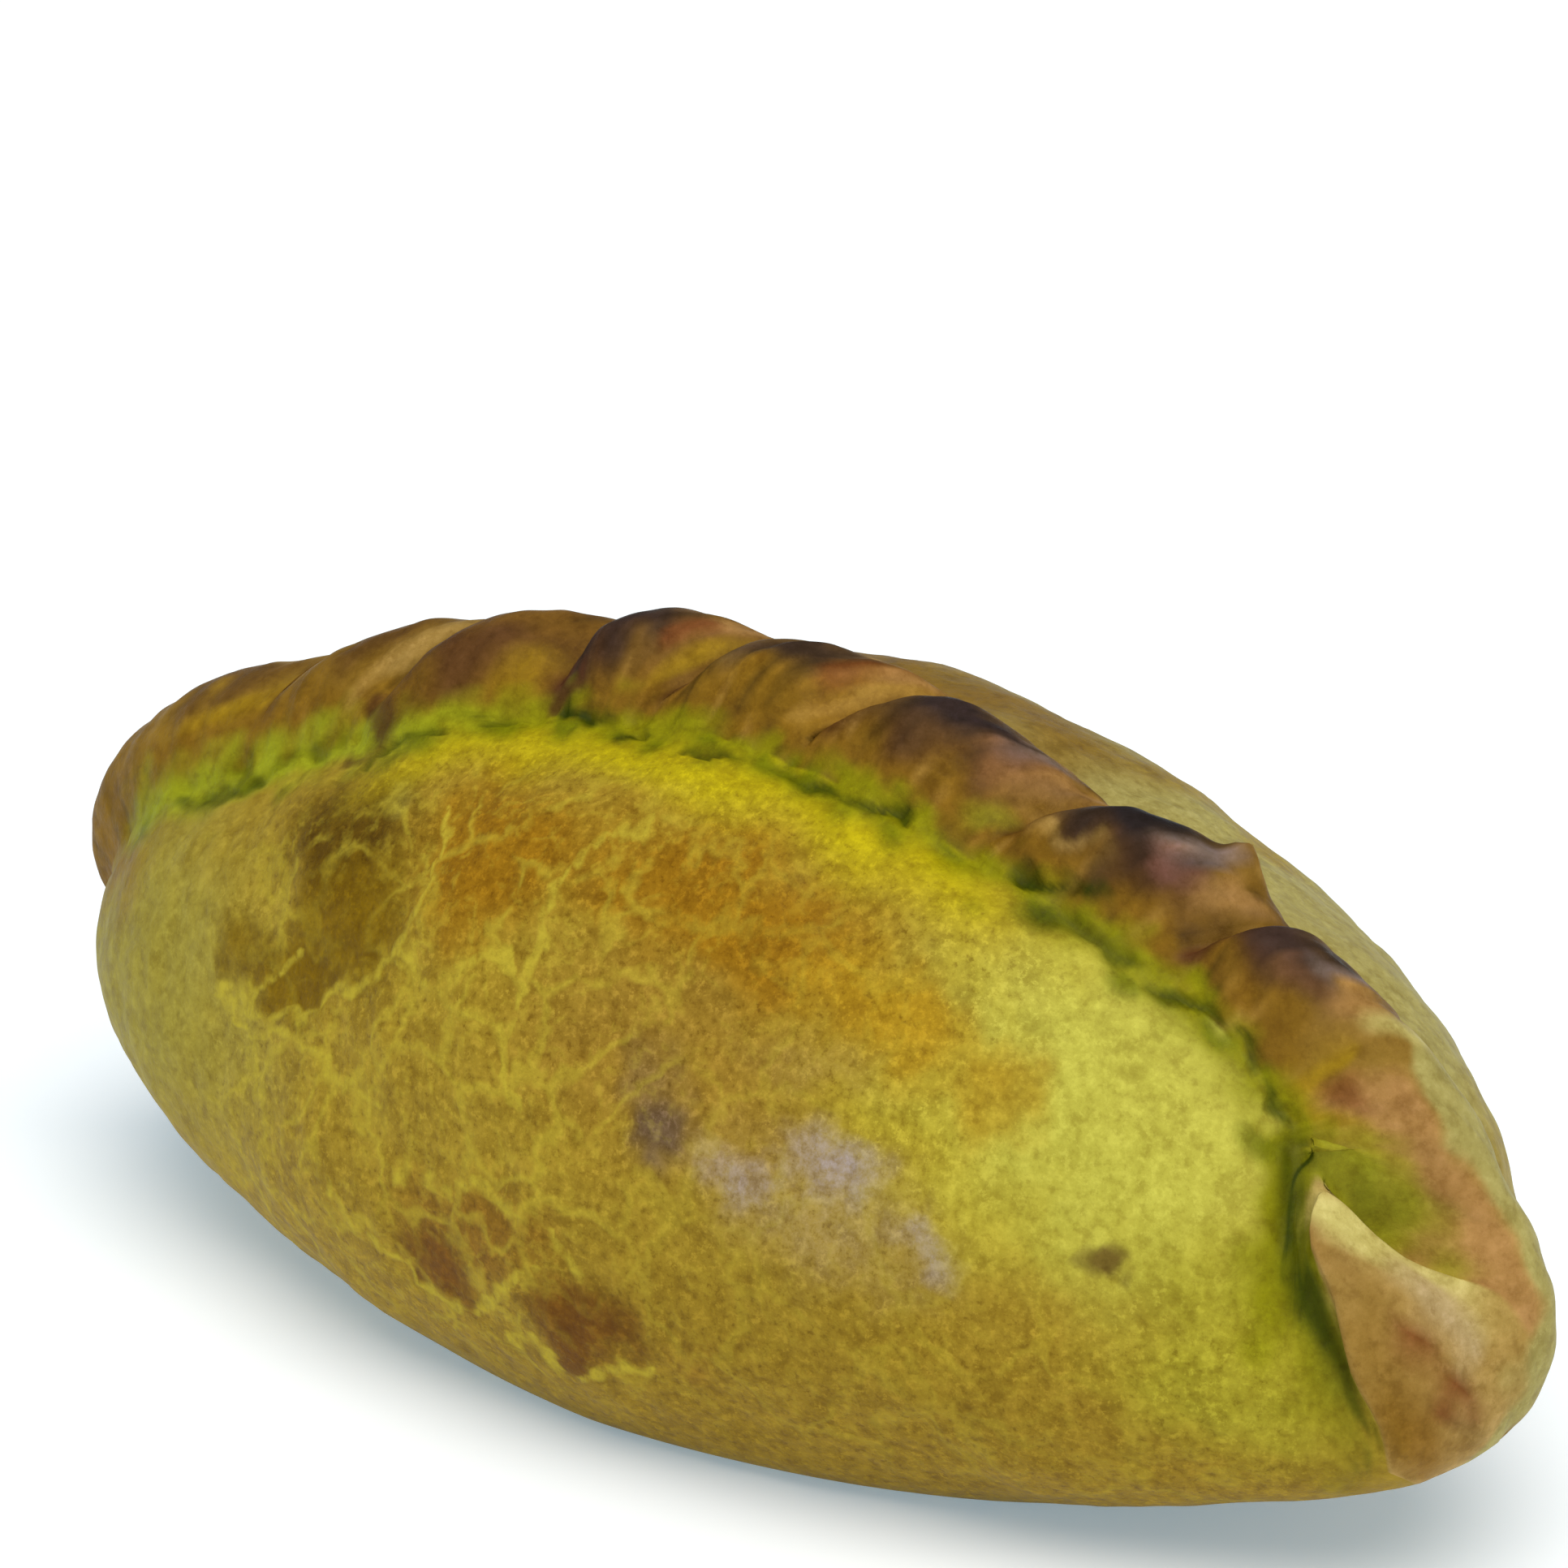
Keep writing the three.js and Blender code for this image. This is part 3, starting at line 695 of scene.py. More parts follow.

# Baked marks on the folds, with painted lilac highlights on burnt crests, pale tan fold ends on the
# ridge
# that are partly a painted edge highlight, and a pale curl lip that is partly a painted highlight:
# fold, colour, middle and reach as share of the seam and place across the rope, strength
ROPE_MARKS = [
    (0, UMBER, (0.150, 0.10), (0.050, 0.30), 0.65),
    (0, LEFT_BROWN, (0.045, 0.40), (0.080, 0.80), 0.9),
    (0, YELLOW_BROWN, (0.168, 0.52), (0.040, 0.24), 0.6),
    (1, UMBER, (0.256, 0.08), (0.018, 0.46), 0.7),
    (1, TAN, (0.279, 0.10), (0.010, 0.65), 0.8),
    (1, FOLD_BROWN, (0.225, 0.48), (0.035, 0.18), 0.6),
    (2, UMBER, (0.326, 0.42), (0.022, 0.44), 0.9),
    (2, YELLOW_BROWN, (0.342, 0.60), (0.006, 0.34), 0.45),
    (3, UMBER, (0.378, 0.50), (0.036, 0.40), 0.95),
    (3, BURNT, (0.400, 0.22), (0.030, 0.50), 0.9),
    (3, BURNT, (0.370, 0.62), (0.020, 0.42), 0.8),
    # Pale tan end of this fold on the ridge: partly its own colour, partly a painted edge highlight
    (3, PINK_TAN, (0.424, -0.15), (0.010, 0.40), 0.8),
    (3, RED_BROWN, (0.422, 0.10), (0.009, 0.26), 0.8),
    (3, YELLOW_BROWN, (0.437, 0.30), (0.007, 0.42), 0.6),
    (4, DARK_STRIPE, (0.470, 0.36), (0.018, 0.32), 0.55),
    (4, BURNT, (0.488, 0.08), (0.022, 0.42), 0.9),
    (4, RED_BROWN, (0.508, 0.02), (0.010, 0.36), 0.8),
    # Pale tan end of this fold on the ridge: partly its own colour, partly a painted edge highlight
    (4, PINK_TAN, (0.513, -0.26), (0.008, 0.32), 0.75),
    (5, UMBER, (0.575, 0.46), (0.038, 0.30), 0.7),
    (5, BURNT, (0.566, 0.12), (0.032, 0.48), 1.0),
    # Painted highlight: lilac sheen on the burnt crest
    (5, PAINTED_HIGHLIGHT_LILAC, (0.586, -0.06), (0.009, 0.36), 0.5),
    (5, PINK_BROWN, (0.592, 0.16), (0.014, 0.34), 0.6),
    # Pale tan end of this fold on the ridge: partly its own colour, partly a painted edge highlight
    (5, PINK_TAN, (0.602, -0.08), (0.008, 0.50), 0.7),
    (5, POCKET_GREEN, (0.606, 0.70), (0.010, 0.26), 0.6),
    (6, UMBER, (0.664, 0.40), (0.040, 0.36), 0.85),
    (6, CHARRED, (0.651, 0.14), (0.033, 0.60), 1.0),
    # Painted highlight: lilac sheen on the burnt crest
    (6, PAINTED_HIGHLIGHT_LILAC, (0.671, -0.06), (0.008, 0.34), 0.6),
    (6, PLUM, (0.678, 0.22), (0.011, 0.26), 0.55),
    # Pale tan end of this fold on the ridge: partly its own colour, partly a painted edge highlight
    (6, PINK_TAN, (0.688, -0.08), (0.008, 0.48), 0.75),
    (6, TAN, (0.640, 0.60), (0.022, 0.08), 0.5),
    (7, UMBER, (0.726, 0.32), (0.028, 0.38), 0.95),
    (7, BURNT, (0.730, 0.12), (0.024, 0.50), 0.85),
    # Painted highlight: lilac sheen on the burnt crest
    (7, PAINTED_HIGHLIGHT_LILAC, (0.741, -0.12), (0.006, 0.28), 0.55),
    (7, PINK_BROWN, (0.746, 0.26), (0.012, 0.28), 0.3),
    # Pale tan and straw end of this fold on the ridge: partly its own colour, partly a painted edge
    # highlight
    (7, PINK_TAN, (0.754, 0.04), (0.009, 0.42), 0.75),
    (7, PALE_STRAW, (0.767, -0.14), (0.012, 0.42), 0.8),
    (8, RED_BROWN, (0.820, 0.48), (0.032, 0.20), 0.7),
    # The curl's pale lip: partly its cream colour, partly a painted highlight that rounds it
    (9, PALE_STRAW, (0.919, 0.36), (0.015, 0.62), 1.0),
    (9, TAN, (0.936, 0.30), (0.014, 0.60), 0.5),
    (9, PINK_PALE, (0.930, 0.10), (0.011, 0.34), 0.8),
    (9, RED_BROWN, (0.928, 0.74), (0.009, 0.18), 0.4),
    (9, BROWN, (0.962, 0.25), (0.024, 0.62), 0.85),
    (9, FOLD_BROWN, (0.955, 0.65), (0.034, 0.34), 0.6),
    (9, RED_BROWN, (0.944, 0.08), (0.006, 0.34), 0.85),
]
MARK_EDGE = 0.25

# The marks of this fold run on into the next one
RUN_ON_FOLD = 7

# How dark the painted shade along the leading edge of each fold is, from left to right
LIP_DARK = np.array([0.0, 0.4, 0.95, 0.95, 0.85, 0.85, 0.9, 0.9, 0.0, 0.0])

# Soft zones of the front belly: colour, middle (x, z), reach (x, z), tilt in degrees, strength
ZONES = [
    (LEFT_CRUST, (-48, 22), (24, 16), 0, 0.95),
    (LOWER_CRUST, (20, 6), (52, 16), -4, 0.9),
    (TIP_BROWN, (-56, 28), (9, 7), 25, 0.9),
    (STRAW, (35, 29), (17, 7.5), -12, 0.7),
    (PALE, (41, 34), (21, 13), -35, 1.0),
    (GREENISH, (51, 19), (10, 10), 0, 0.8),
    (LOWER_CRUST, (50, 10), (11, 4), -8, 0.5),
    (CENTRE, (8, 32), (15, 9), 0, 0.85),
    (TOASTED, (7, 41), (14, 4.6), -4, 0.95),
    (TOASTED, (14, 38.6), (7.5, 3.5), -8, 0.85),
    (ORANGE, (23, 37.2), (7.5, 3.3), -14, 0.8),
    (ORANGE, (28.5, 35), (6, 3), -20, 0.5),
    (ORANGE, (32.6, 32.8), (3.4, 3.8), 0, 0.6),
    (TOASTED, (-11, 40), (10, 5), 6, 0.95),
    (TOASTED, (-12.5, 36.3), (6, 3.4), 10, 0.7),
    (SMUDGE, (-26, 37.0), (9.0, 4.8), 18, 1.0),
    # Painted highlight: a small pale spot at the upper edge of the dark smudge
    (LEFT_CRUST, (-23.3, 39.8), (2.2, 0.8), 10, 0.5),
    (DARK_SPOT, (8, 30), (3, 3.2), 0, 0.4),
    (DARK_SPOT, (10, 26.8), (2.7, 2.3), -20, 0.9),
    (BROWN, (-5, 16.5), (8.5, 4.4), 10, 0.85),
    (BROWN, (12.5, 10.5), (3.2, 2.6), 0, 0.5),
]
ZONE_EDGE = 0.3
ZONE_LIMIT = 1.15

# Patches with a clearer edge and a darker rim, in the same form
PATCHES = [
    (OLIVE, (-23, 32), (8.0, 5.0), 15, 0.9),
    (OLIVE, (-27, 27.4), (5.6, 3.8), 20, 0.95),
    (OLIVE, (-33.4, 27.0), (3.4, 2.8), 20, 0.75),
    (DARK_BROWN, (-9.3, 12), (4.2, 3.5), 15, 0.95),
    (DARK_BROWN, (4.2, 11.8), (5.0, 4.2), 25, 0.95),
    (DARK_BROWN, (2.4, 8.4), (2.6, 2.2), 0, 0.8),
    (UMBER, (42.2, 24.4), (1.8, 0.9), -12, 0.8),
]
PATCH_EDGE = 0.4
PATCH_RIM = 0.78
PATCH_RIM_STRENGTH = 1.2

# Painted sheen on the front belly, laid in lilac over the colour where the crust is also less rough:
# middle (x, z), reach (x, z), tilt in degrees, strength
SHEEN = [
    ((22, 27.4), (5.4, 2.7), -12, 1.0),
    ((16.5, 25.2), (4.8, 2.1), -22, 0.75),
    ((30.5, 23.5), (4, 2.2), -15, 0.6),
    ((20.5, 33), (7, 1.9), -2, 0.06),
    ((23, 24.5), (12, 6), -12, 0.22),
]
SHEEN_EDGE = 0.0

# Pale veins of the front belly, each through a few (x, z) places
VEINS = [
    [(0.5, 44), (-2.5, 42.3), (-4.2, 40), (-3.5, 37), (-4, 34), (-4.6, 30.5)],
    [(-17, 40.5), (-15.5, 35), (-16.3, 32.5), (-21.5, 27.5), (-25, 25), (-35, 23.8)],
    [(-16.3, 32.5), (-13, 31), (-5, 30.3), (-3.5, 28), (-2, 25.5)],
    [(-11.5, 32.5), (-10, 34.3), (-7, 35), (-5.2, 33.5)],
    [(-32, 25), (-30, 27.5), (-27.8, 29)],
    [(-35, 24), (-32, 22), (-26, 23.5), (-20, 23), (-15, 22)],
    [(-20, 15), (-17.5, 12.5), (-12.5, 11.8)],
    [(-12.8, 11.5), (-12.3, 9.2), (-9, 8.8), (-6.3, 10), (-4.5, 11.8), (0.5, 15)],
    [(-12.2, 16), (-11, 18.5), (-7, 19.5), (-1.5, 19.6), (5, 15.8)],
    [(-4, 8.5), (0, 8.3), (0.8, 6.5), (3, 6.3), (9, 9.5)],
]

# Layers of paint: colour, strength, and for each field that limits the layer, where in it the paint
# begins and is full. Lengths are in millimetres; climb is a length up from the nearer foot and along a
# share of the seam.
BACK_LAYERS = [
    (TOASTED, 0.7, [("toast", 0.3, 1.4)]),
    (BROWN, 0.7, [("spot", 1.0, 1.9)]),
    (BACK_PALE, 0.95, [("pale", 0, 18)]),
    (LOWER_CRUST, 0.7, [("height", 14, 3)]),
    (FOLD_BROWN, 0.9, [("climb", -28, -9), ("along", 0.61, 0.49)]),
]
FRONT_SIDE = (3, -3)
SPOT_RAGGED = 0.3
PALE_LEFT_HEIGHT = 30
PALE_RIGHT_HEIGHT = 12
PALE_LOWERS_AT = (18, 40)
PALE_RAGGED = 4
CLIMB_RAGGED = 2
ALONG_RAGGED = 0.012
GOLD_CLIMB = (-8.5, -3.5)
GOLD_RAGGED = 0.8
GOLD_LEFT = (-32, -18)
GOLD_RIGHT = (38, 20)


def zone_mask(a, b, middle, reach, tilt, edge):
    """One inside a tilted ellipse and zero outside it, fading from a share of its reach, the edge,
    outwards."""
    c, s = math.cos(math.radians(tilt)), math.sin(math.radians(tilt))
    da, db = a - middle[0], b - middle[1]
    along, across = da * c + db * s, db * c - da * s
    return smooth((ZONE_LIMIT, edge), np.hypot(along / reach[0], across / reach[1]))


def lay(colour, paint, mask):
    """Colour with a paint laid over it where the mask is one."""
    return mix(colour, paint, np.clip(mask, 0, 1)[..., None])


def layered(colour, layers, fields, where):
    """Colour with layers of paint over it where the mask is one, each as far as its fields allow."""
    for paint, strength, limits in layers:
        mask = strength * where
        for field, start, end in limits:
            mask = mask * smooth((start, end), fields[field])
        colour = lay(colour, paint, mask)
    return colour


def belly_paint(points, guide, x, z):
    """Belly colours and where its patches lie: the front's zones and dark-rimmed patches laid over each
    other, a back with toasted places, brown spots and a pale upper side, brown behind the left and
    middle folds, and the golden band under the front crease."""
    patchy = lumps(points, BELLY_PATCHES)
    climb, label = guide["climb"], guide["label"]
    on_front = smooth(FRONT_SIDE, points[..., 1] - LEAN * points[..., 2])
    colour = np.broadcast_to(CRUST, points.shape)
    for paint, middle, reach, tilt, strength in ZONES:
        mask = on_front * zone_mask(x, z, middle, reach, tilt, ZONE_EDGE)
        colour = lay(colour, paint, strength * mask)
    patch = np.zeros(x.shape)
    for paint, middle, reach, tilt, strength in PATCHES:
        mask = on_front * zone_mask(x, z, middle, reach, tilt, PATCH_EDGE)
        colour = lay(colour, paint, strength * mask)
        colour = lay(colour, PATCH_RIM * paint, PATCH_RIM_STRENGTH * mask * (1 - mask))
        patch = np.maximum(patch, strength * mask)

    pale_from = mix(PALE_LEFT_HEIGHT, PALE_RIGHT_HEIGHT, smooth(PALE_LOWERS_AT, points[..., 0]))
    fields = {
        "toast": lumps(points, TOASTED_PLACES),
        "spot": lumps(points, SPOT_PLACES) + SPOT_RAGGED * patchy,
        "pale": points[..., 2] + PALE_RAGGED * patchy - pale_from,
        "height": points[..., 2],
        "climb": climb + CLIMB_RAGGED * patchy,
        "along": label + ALONG_RAGGED * patchy,
    }
    colour = layered(colour, BACK_LAYERS, fields, 1 - on_front)
    band = smooth(GOLD_CLIMB, climb + GOLD_RAGGED * patchy) * guide["front"]
    return lay(colour, GOLDEN, band * smooth(GOLD_LEFT, x) * smooth(GOLD_RIGHT, x)), patch


# Streaks along the folds: noise of about unit strength
STREAK_SHIFT = 0.0025
STREAK_SHADE = 0.16
STREAK_LIMIT = 2
STREAK_LAYERS = [
    (TAN, 0.28, [("streak", 0.5, 1.8)]),
    (DARK_STRIPE, 0.35, [("streak", -0.5, -1.8)]),
]

# Middle line of the pinkish band on the fold before the curl: shares of the seam and places across the
# rope. In the layers, down is the distance from it across the rope towards the front foot.
BAND_LABEL = (0.775, 0.80, 0.83, 0.85, 0.87, 0.89, 0.905)
BAND_SHARE = (0.30, 0.42, 0.38, 0.25, 0.02, -0.12, -0.25)
EARLY_LAYERS = [(FOLD_BROWN, 0.7, [("across", 0.45, 0.65)])]
LATE = ("along", 0.758, 0.785)
LATE_LAYERS = [
    (BACK_PALE, 0.95, [LATE, ("down", -0.12, -0.32)]),
    (YELLOW_BROWN, 0.7, [LATE, ("down", 0.06, 0.18), ("along", 0.875, 0.83)]),
]
BEFORE_CURL_LAYERS = [
    (PINK_TAN, 0.95, [("down", -0.32, -0.08), ("down", 0.46, 0.14), ("along", 0.79, 0.83)]),
    (POCKET_GREEN, 0.95, [("along", 0.840, 0.880), ("down", 0.10, 0.50)]),
]
# Painted shadow in the pocket under the curl's lip: middle and reach as share of the seam and place
# across the rope
POCKET_SHADES = [((0.898, 0.42), (0.016, 0.26)), ((0.900, 0.8), (0.016, 0.2))]
POCKET_SHADE = 0.45
LIP_LIMITS = [("fold", 0.20, 0.03), ("across", -0.8, -0.5), ("across", 0.85, 0.5)]


def rope_paint(points, guide):
    """Rope colours: each fold's ground with streaks along it, then the pale back, the pinkish band and
    the green pocket of the last two folds with painted shadow in the pocket, and over them the baked
    marks with their painted highlights and the painted shade along the leading edges."""
    number, before, after = guide["number"], guide["join_before"], guide["join_after"]
    before_curl = number == BEFORE_CURL
    early = number < BEFORE_CURL
    colour = across_borders(FOLD_COLOURS, number, before[..., None], after[..., None])
    share = guide["share"] + lumps(points, ROPE_SHIFT)
    across = rope_grain(guide)
    streak = lumps(across, STREAKS) + lumps(across, FINE_STREAKS)
    streak = streak * (1 - before - after) * np.where(number < CALM_FOLDS, CALM_STREAKS, 1.0)
    label = guide["label"] + STREAK_SHIFT * streak
    down = share - np.interp(label, BAND_LABEL, BAND_SHARE)
    fields = {"across": share, "streak": streak, "along": label, "down": down, "fold": guide["q"]}
    colour = layered(colour, EARLY_LAYERS, fields, early)
    colour = layered(colour, STREAK_LAYERS + LATE_LAYERS, fields, 1)
    colour = layered(colour, BEFORE_CURL_LAYERS, fields, before_curl)
    # Painted shadow in the pocket under the curl's lip
    for middle, reach in POCKET_SHADES:
        mask = zone_mask(label, share, middle, reach, 0, MARK_EDGE)
        colour = lay(colour, POCKET_SHADOW, POCKET_SHADE * before_curl * mask)

    for fold, paint, middle, reach, strength in ROPE_MARKS:
        own = (number == fold) | (fold == RUN_ON_FOLD) & (number == fold + 1)
        mask = own * zone_mask(label, share, middle, reach, 0, MARK_EDGE)
        colour = lay(colour, paint, strength * mask)
    # Painted shade along each fold's leading edge
    colour = layered(colour, [(LIP_SHADE, 1, LIP_LIMITS)], fields, LIP_DARK[number])
    shade = STREAK_SHADE * np.clip(streak, -STREAK_LIMIT, STREAK_LIMIT) * early
    return colour * (1 + shade[..., None])


# Crease paint: how far the green reaches up and down from the foot, and layers as above
LEFT_ALONG = (0.36, 0.30)
CURL_SIDE_ALONG = (0.80, 0.87)
GREEN_UP = 2.6
GREEN_UP_LEFT = 4.6
GREEN_UP_ENDS = (0.95, 0.88)
GREEN_FROM = -4.5
GREEN_FROM_AT_CURL = -6.5
GREEN_FROM_ENDS = (0.96, 0.91)
GREEN_LEAST_UP = 0.01
GREEN_RAGGED = 0.6
GREEN_LIMITS = [("from", 0, 4.0), ("up", 1.1, 0.0), ("along", 0.06, 0.12), ("along", 0.975, 0.92)]
GREEN_STRENGTH = 0.95
DARK_GREEN_LAYERS = [(DARK_GREEN, 0.8, [("patchy", 0.1, 1.3)])]
# Painted shade in the valley beside the curl
VALLEY_LAYERS = [(DEEP_GREEN_SHADE, 0.75, [("along", *CURL_SIDE_ALONG), ("along", 0.975, 0.93)])]
VALLEY_CLIMB = -0.7
VALLEY_WIDTH = 1.3
CRACK_STRENGTH = 0.95


def crease_paint(colour, points, guide):
    """Colour with the crease laid over it: a patchy green strip, broader at the left and beside the
    curl, painted shade in the valley beside the curl and below two folds' leading edges, and dark cracks
    whose darkness is painted shade."""
    climb, label, front = guide["climb"], guide["label"], guide["front"]
    patchy = lumps(points, GREEN_PATCHES)
    left = smooth(LEFT_ALONG, label)
    beside_curl = smooth(CURL_SIDE_ALONG, label)
    reach_up = mix(GREEN_UP, GREEN_UP_LEFT, left) * smooth(GREEN_UP_ENDS, label)
    low = mix(GREEN_FROM, GREEN_FROM_AT_CURL, beside_curl * smooth(GREEN_FROM_ENDS, label))
    ragged = climb + GREEN_RAGGED * patchy
    up = (ragged + lumps(points, GREEN_EDGE)) / (reach_up + GREEN_LEAST_UP)
    fields = {"from": ragged - low, "up": up, "along": label, "patchy": patchy}
    green = mix(GREEN, LEFT_GREEN, left[..., None])
    green = layered(green, DARK_GREEN_LAYERS, fields, 1 - beside_curl)
    colour = layered(colour, [(green, GREEN_STRENGTH, GREEN_LIMITS)], fields, front)
    # Painted shade in the valley beside the curl
    valley = bell(climb, VALLEY_CLIMB, VALLEY_WIDTH) * front
    colour = layered(colour, VALLEY_LAYERS, fields, valley)
    # Painted shade below two folds' leading edges
    colour = lay(colour, LIP_SHADE, crease_strokes(points, guide, EDGE_SHADE_STROKES))
    # Dark cracks, their darkness painted shade
    return lay(colour, DEEP_GREEN_SHADE, CRACK_STRENGTH * crease_strokes(points, guide, CRACKS))


# Where the rope's paint begins at the curl, and where veins and grain lie
ROPE_BEGINS_CLIMB = (-0.5, 2.5)
ROPE_BEGINS_ALONG = (0.90, 0.94)
SMOOTH_LEFT = (-30, -42)
SMOOTH_RIGHT = (26, 38)
SMOOTH_RIGHT_HEIGHTS = (18, 26)
SMOOTH_BEHIND = (-2, 6)
SMOOTH_BEHIND_HEIGHTS = (36, 43)
VEINED_CLIMB = (-4, -9)
VEINED_HEIGHTS = (2, 8)
VEINED_LEFT = 0.8
VEINED_RIGHT = 0.45
VEINED_THINS = (0, 14)
VEINED_LESS_ON_PATCH = 0.7
GRAIN_ON_ROPE = 0.4
GRAIN_CLIMB = (-2, -6)
GRAIN_ON_SMOOTH = 0.45
GRAIN_LESS_ON_PATCH = 0.25


def crust_paint(points, guide):
    """Ground colour of every point and the strengths of its veins, grain and painted lilac sheen.
    The belly's colours and the rope's meet in the green crease with its dark cracks."""
    x = points[..., 0] + lumps(points, SHIFT_X) + lumps(points, SHIFT_X_FINE)
    z = points[..., 2] + lumps(points, SHIFT_Z) + lumps(points, SHIFT_Z_FINE)
    climb, rope = guide["climb"], guide["on_rope"]
    belly_colour, patch = belly_paint(points, guide, x, z)
    begins = smooth(ROPE_BEGINS_CLIMB, climb)
    begun = rope * mix(1.0, begins, smooth(ROPE_BEGINS_ALONG, guide["label"]))
    colour = mix(belly_colour, rope_paint(points, guide), begun[..., None])
    colour = crease_paint(colour, points, guide)

    belly = 1 - rope
    front = guide["front"] * belly
    # Painted sheen: where lilac is laid over the colour in the shader and the crust is less rough
    sheen = np.zeros(x.shape)
    for middle, reach, tilt, strength in SHEEN:
        sheen = np.maximum(sheen, strength * front * zone_mask(x, z, middle, reach, tilt, SHEEN_EDGE))
    vein = np.full(x.shape, FAR)
    for stroke in VEINS:
        vein = np.minimum(vein, stroke_distance(x, z, rounded(stroke)))
    at_left = smooth(SMOOTH_LEFT, points[..., 0])
    at_right = smooth(SMOOTH_RIGHT, points[..., 0]) * smooth(SMOOTH_RIGHT_HEIGHTS, z)
    behind = smooth(SMOOTH_BEHIND, points[..., 1] - LEAN * points[..., 2])
    behind = behind * smooth(SMOOTH_BEHIND_HEIGHTS, z)
    smooth_skin = np.maximum(np.maximum(at_left, at_right), behind)
    veined = belly * smooth(VEINED_CLIMB, climb) * (1 - smooth_skin)
    veined = veined * smooth(VEINED_HEIGHTS, points[..., 2])
    veined = veined * mix(VEINED_LEFT, VEINED_RIGHT, smooth(VEINED_THINS, points[..., 0]))
    grain = mix(GRAIN_ON_ROPE, 1.0, belly * smooth(GRAIN_CLIMB, climb))
    grain = grain * mix(1.0, GRAIN_ON_SMOOTH, smooth_skin)
    return {
        "ground": colour,
        "vein": np.where(front > 0, vein, FAR),
        "veined": veined * (1 - VEINED_LESS_ON_PATCH * patch),
        "grain": grain * (1 - GRAIN_LESS_ON_PATCH * patch),
        "sheen": sheen,
    }


def skin_faces(loops, steps):
    """Quads between neighbouring loops and fans at the two tips, whose points come after all others."""
    ring, step = np.meshgrid(np.arange(loops - 3), np.arange(steps), indexing="ij")
    here, there = ring * steps, (ring + 1) * steps
    after = (step + 1) % steps
    quads = np.stack([here + step, here + after, there + after, there + step], -1).reshape(-1, 4)
    j = np.arange(steps)
    k = (j + 1) % steps
    last_loop = (loops - 3) * steps
    first_tip = (loops - 2) * steps
    start_fan = np.stack([np.full(steps, first_tip), k, j], -1)
    end_fan = np.stack([np.full(steps, first_tip + 1), last_loop + j, last_loop + k], -1)
    return quads.tolist() + start_fan.tolist() + end_fan.tolist()


def pastry_piece():
    """The pastry's skin as one closed mesh, centred over the origin, with its paint as attributes."""
    points, guide = pastry_surface()
    points = rounded_crease(points, guide)
    points = relief(points, grid_normals(points), guide)
    paint = crust_paint(points, guide)
    loops, steps = points.shape[:2]
    low, high = points.reshape(-1, 3).min(0), points.reshape(-1, 3).max(0)
    points = points - np.array([(low[0] + high[0]) / 2, (low[1] + high[1]) / 2, 0])
    tips = np.stack([points[0].mean(0), points[-1].mean(0)])
    vertices = np.concatenate([points[1:-1].reshape(-1, 3), tips]) * MILLIMETRE
    mesh = bpy.data.meshes.new("pastry_skin")
    mesh.from_pydata(vertices.tolist(), [], skin_faces(loops, steps))
    mesh.polygons.foreach_set("use_smooth", np.ones(len(mesh.polygons), bool))
    for name, values in paint.items():
        flat = values.reshape(loops, steps, -1)
        flat = np.concatenate([flat[1:-1].reshape((loops - 2) * steps, -1), flat[[0, -1], 0]])
        if values.ndim == 3:
            attribute = mesh.attributes.new(name, "FLOAT_COLOR", "POINT")
            flat = np.concatenate([flat, np.ones((len(flat), 1))], 1)
            attribute.data.foreach_set("color", flat.astype(np.float32).ravel())
        else:
            attribute = mesh.attributes.new(name, "FLOAT", "POINT")
            attribute.data.foreach_set("value", flat.astype(np.float32).ravel())
    mesh.update()
    piece = bpy.data.objects.new("pastry_skin", mesh)
    bpy.context.scene.collection.objects.link(piece)
    return piece


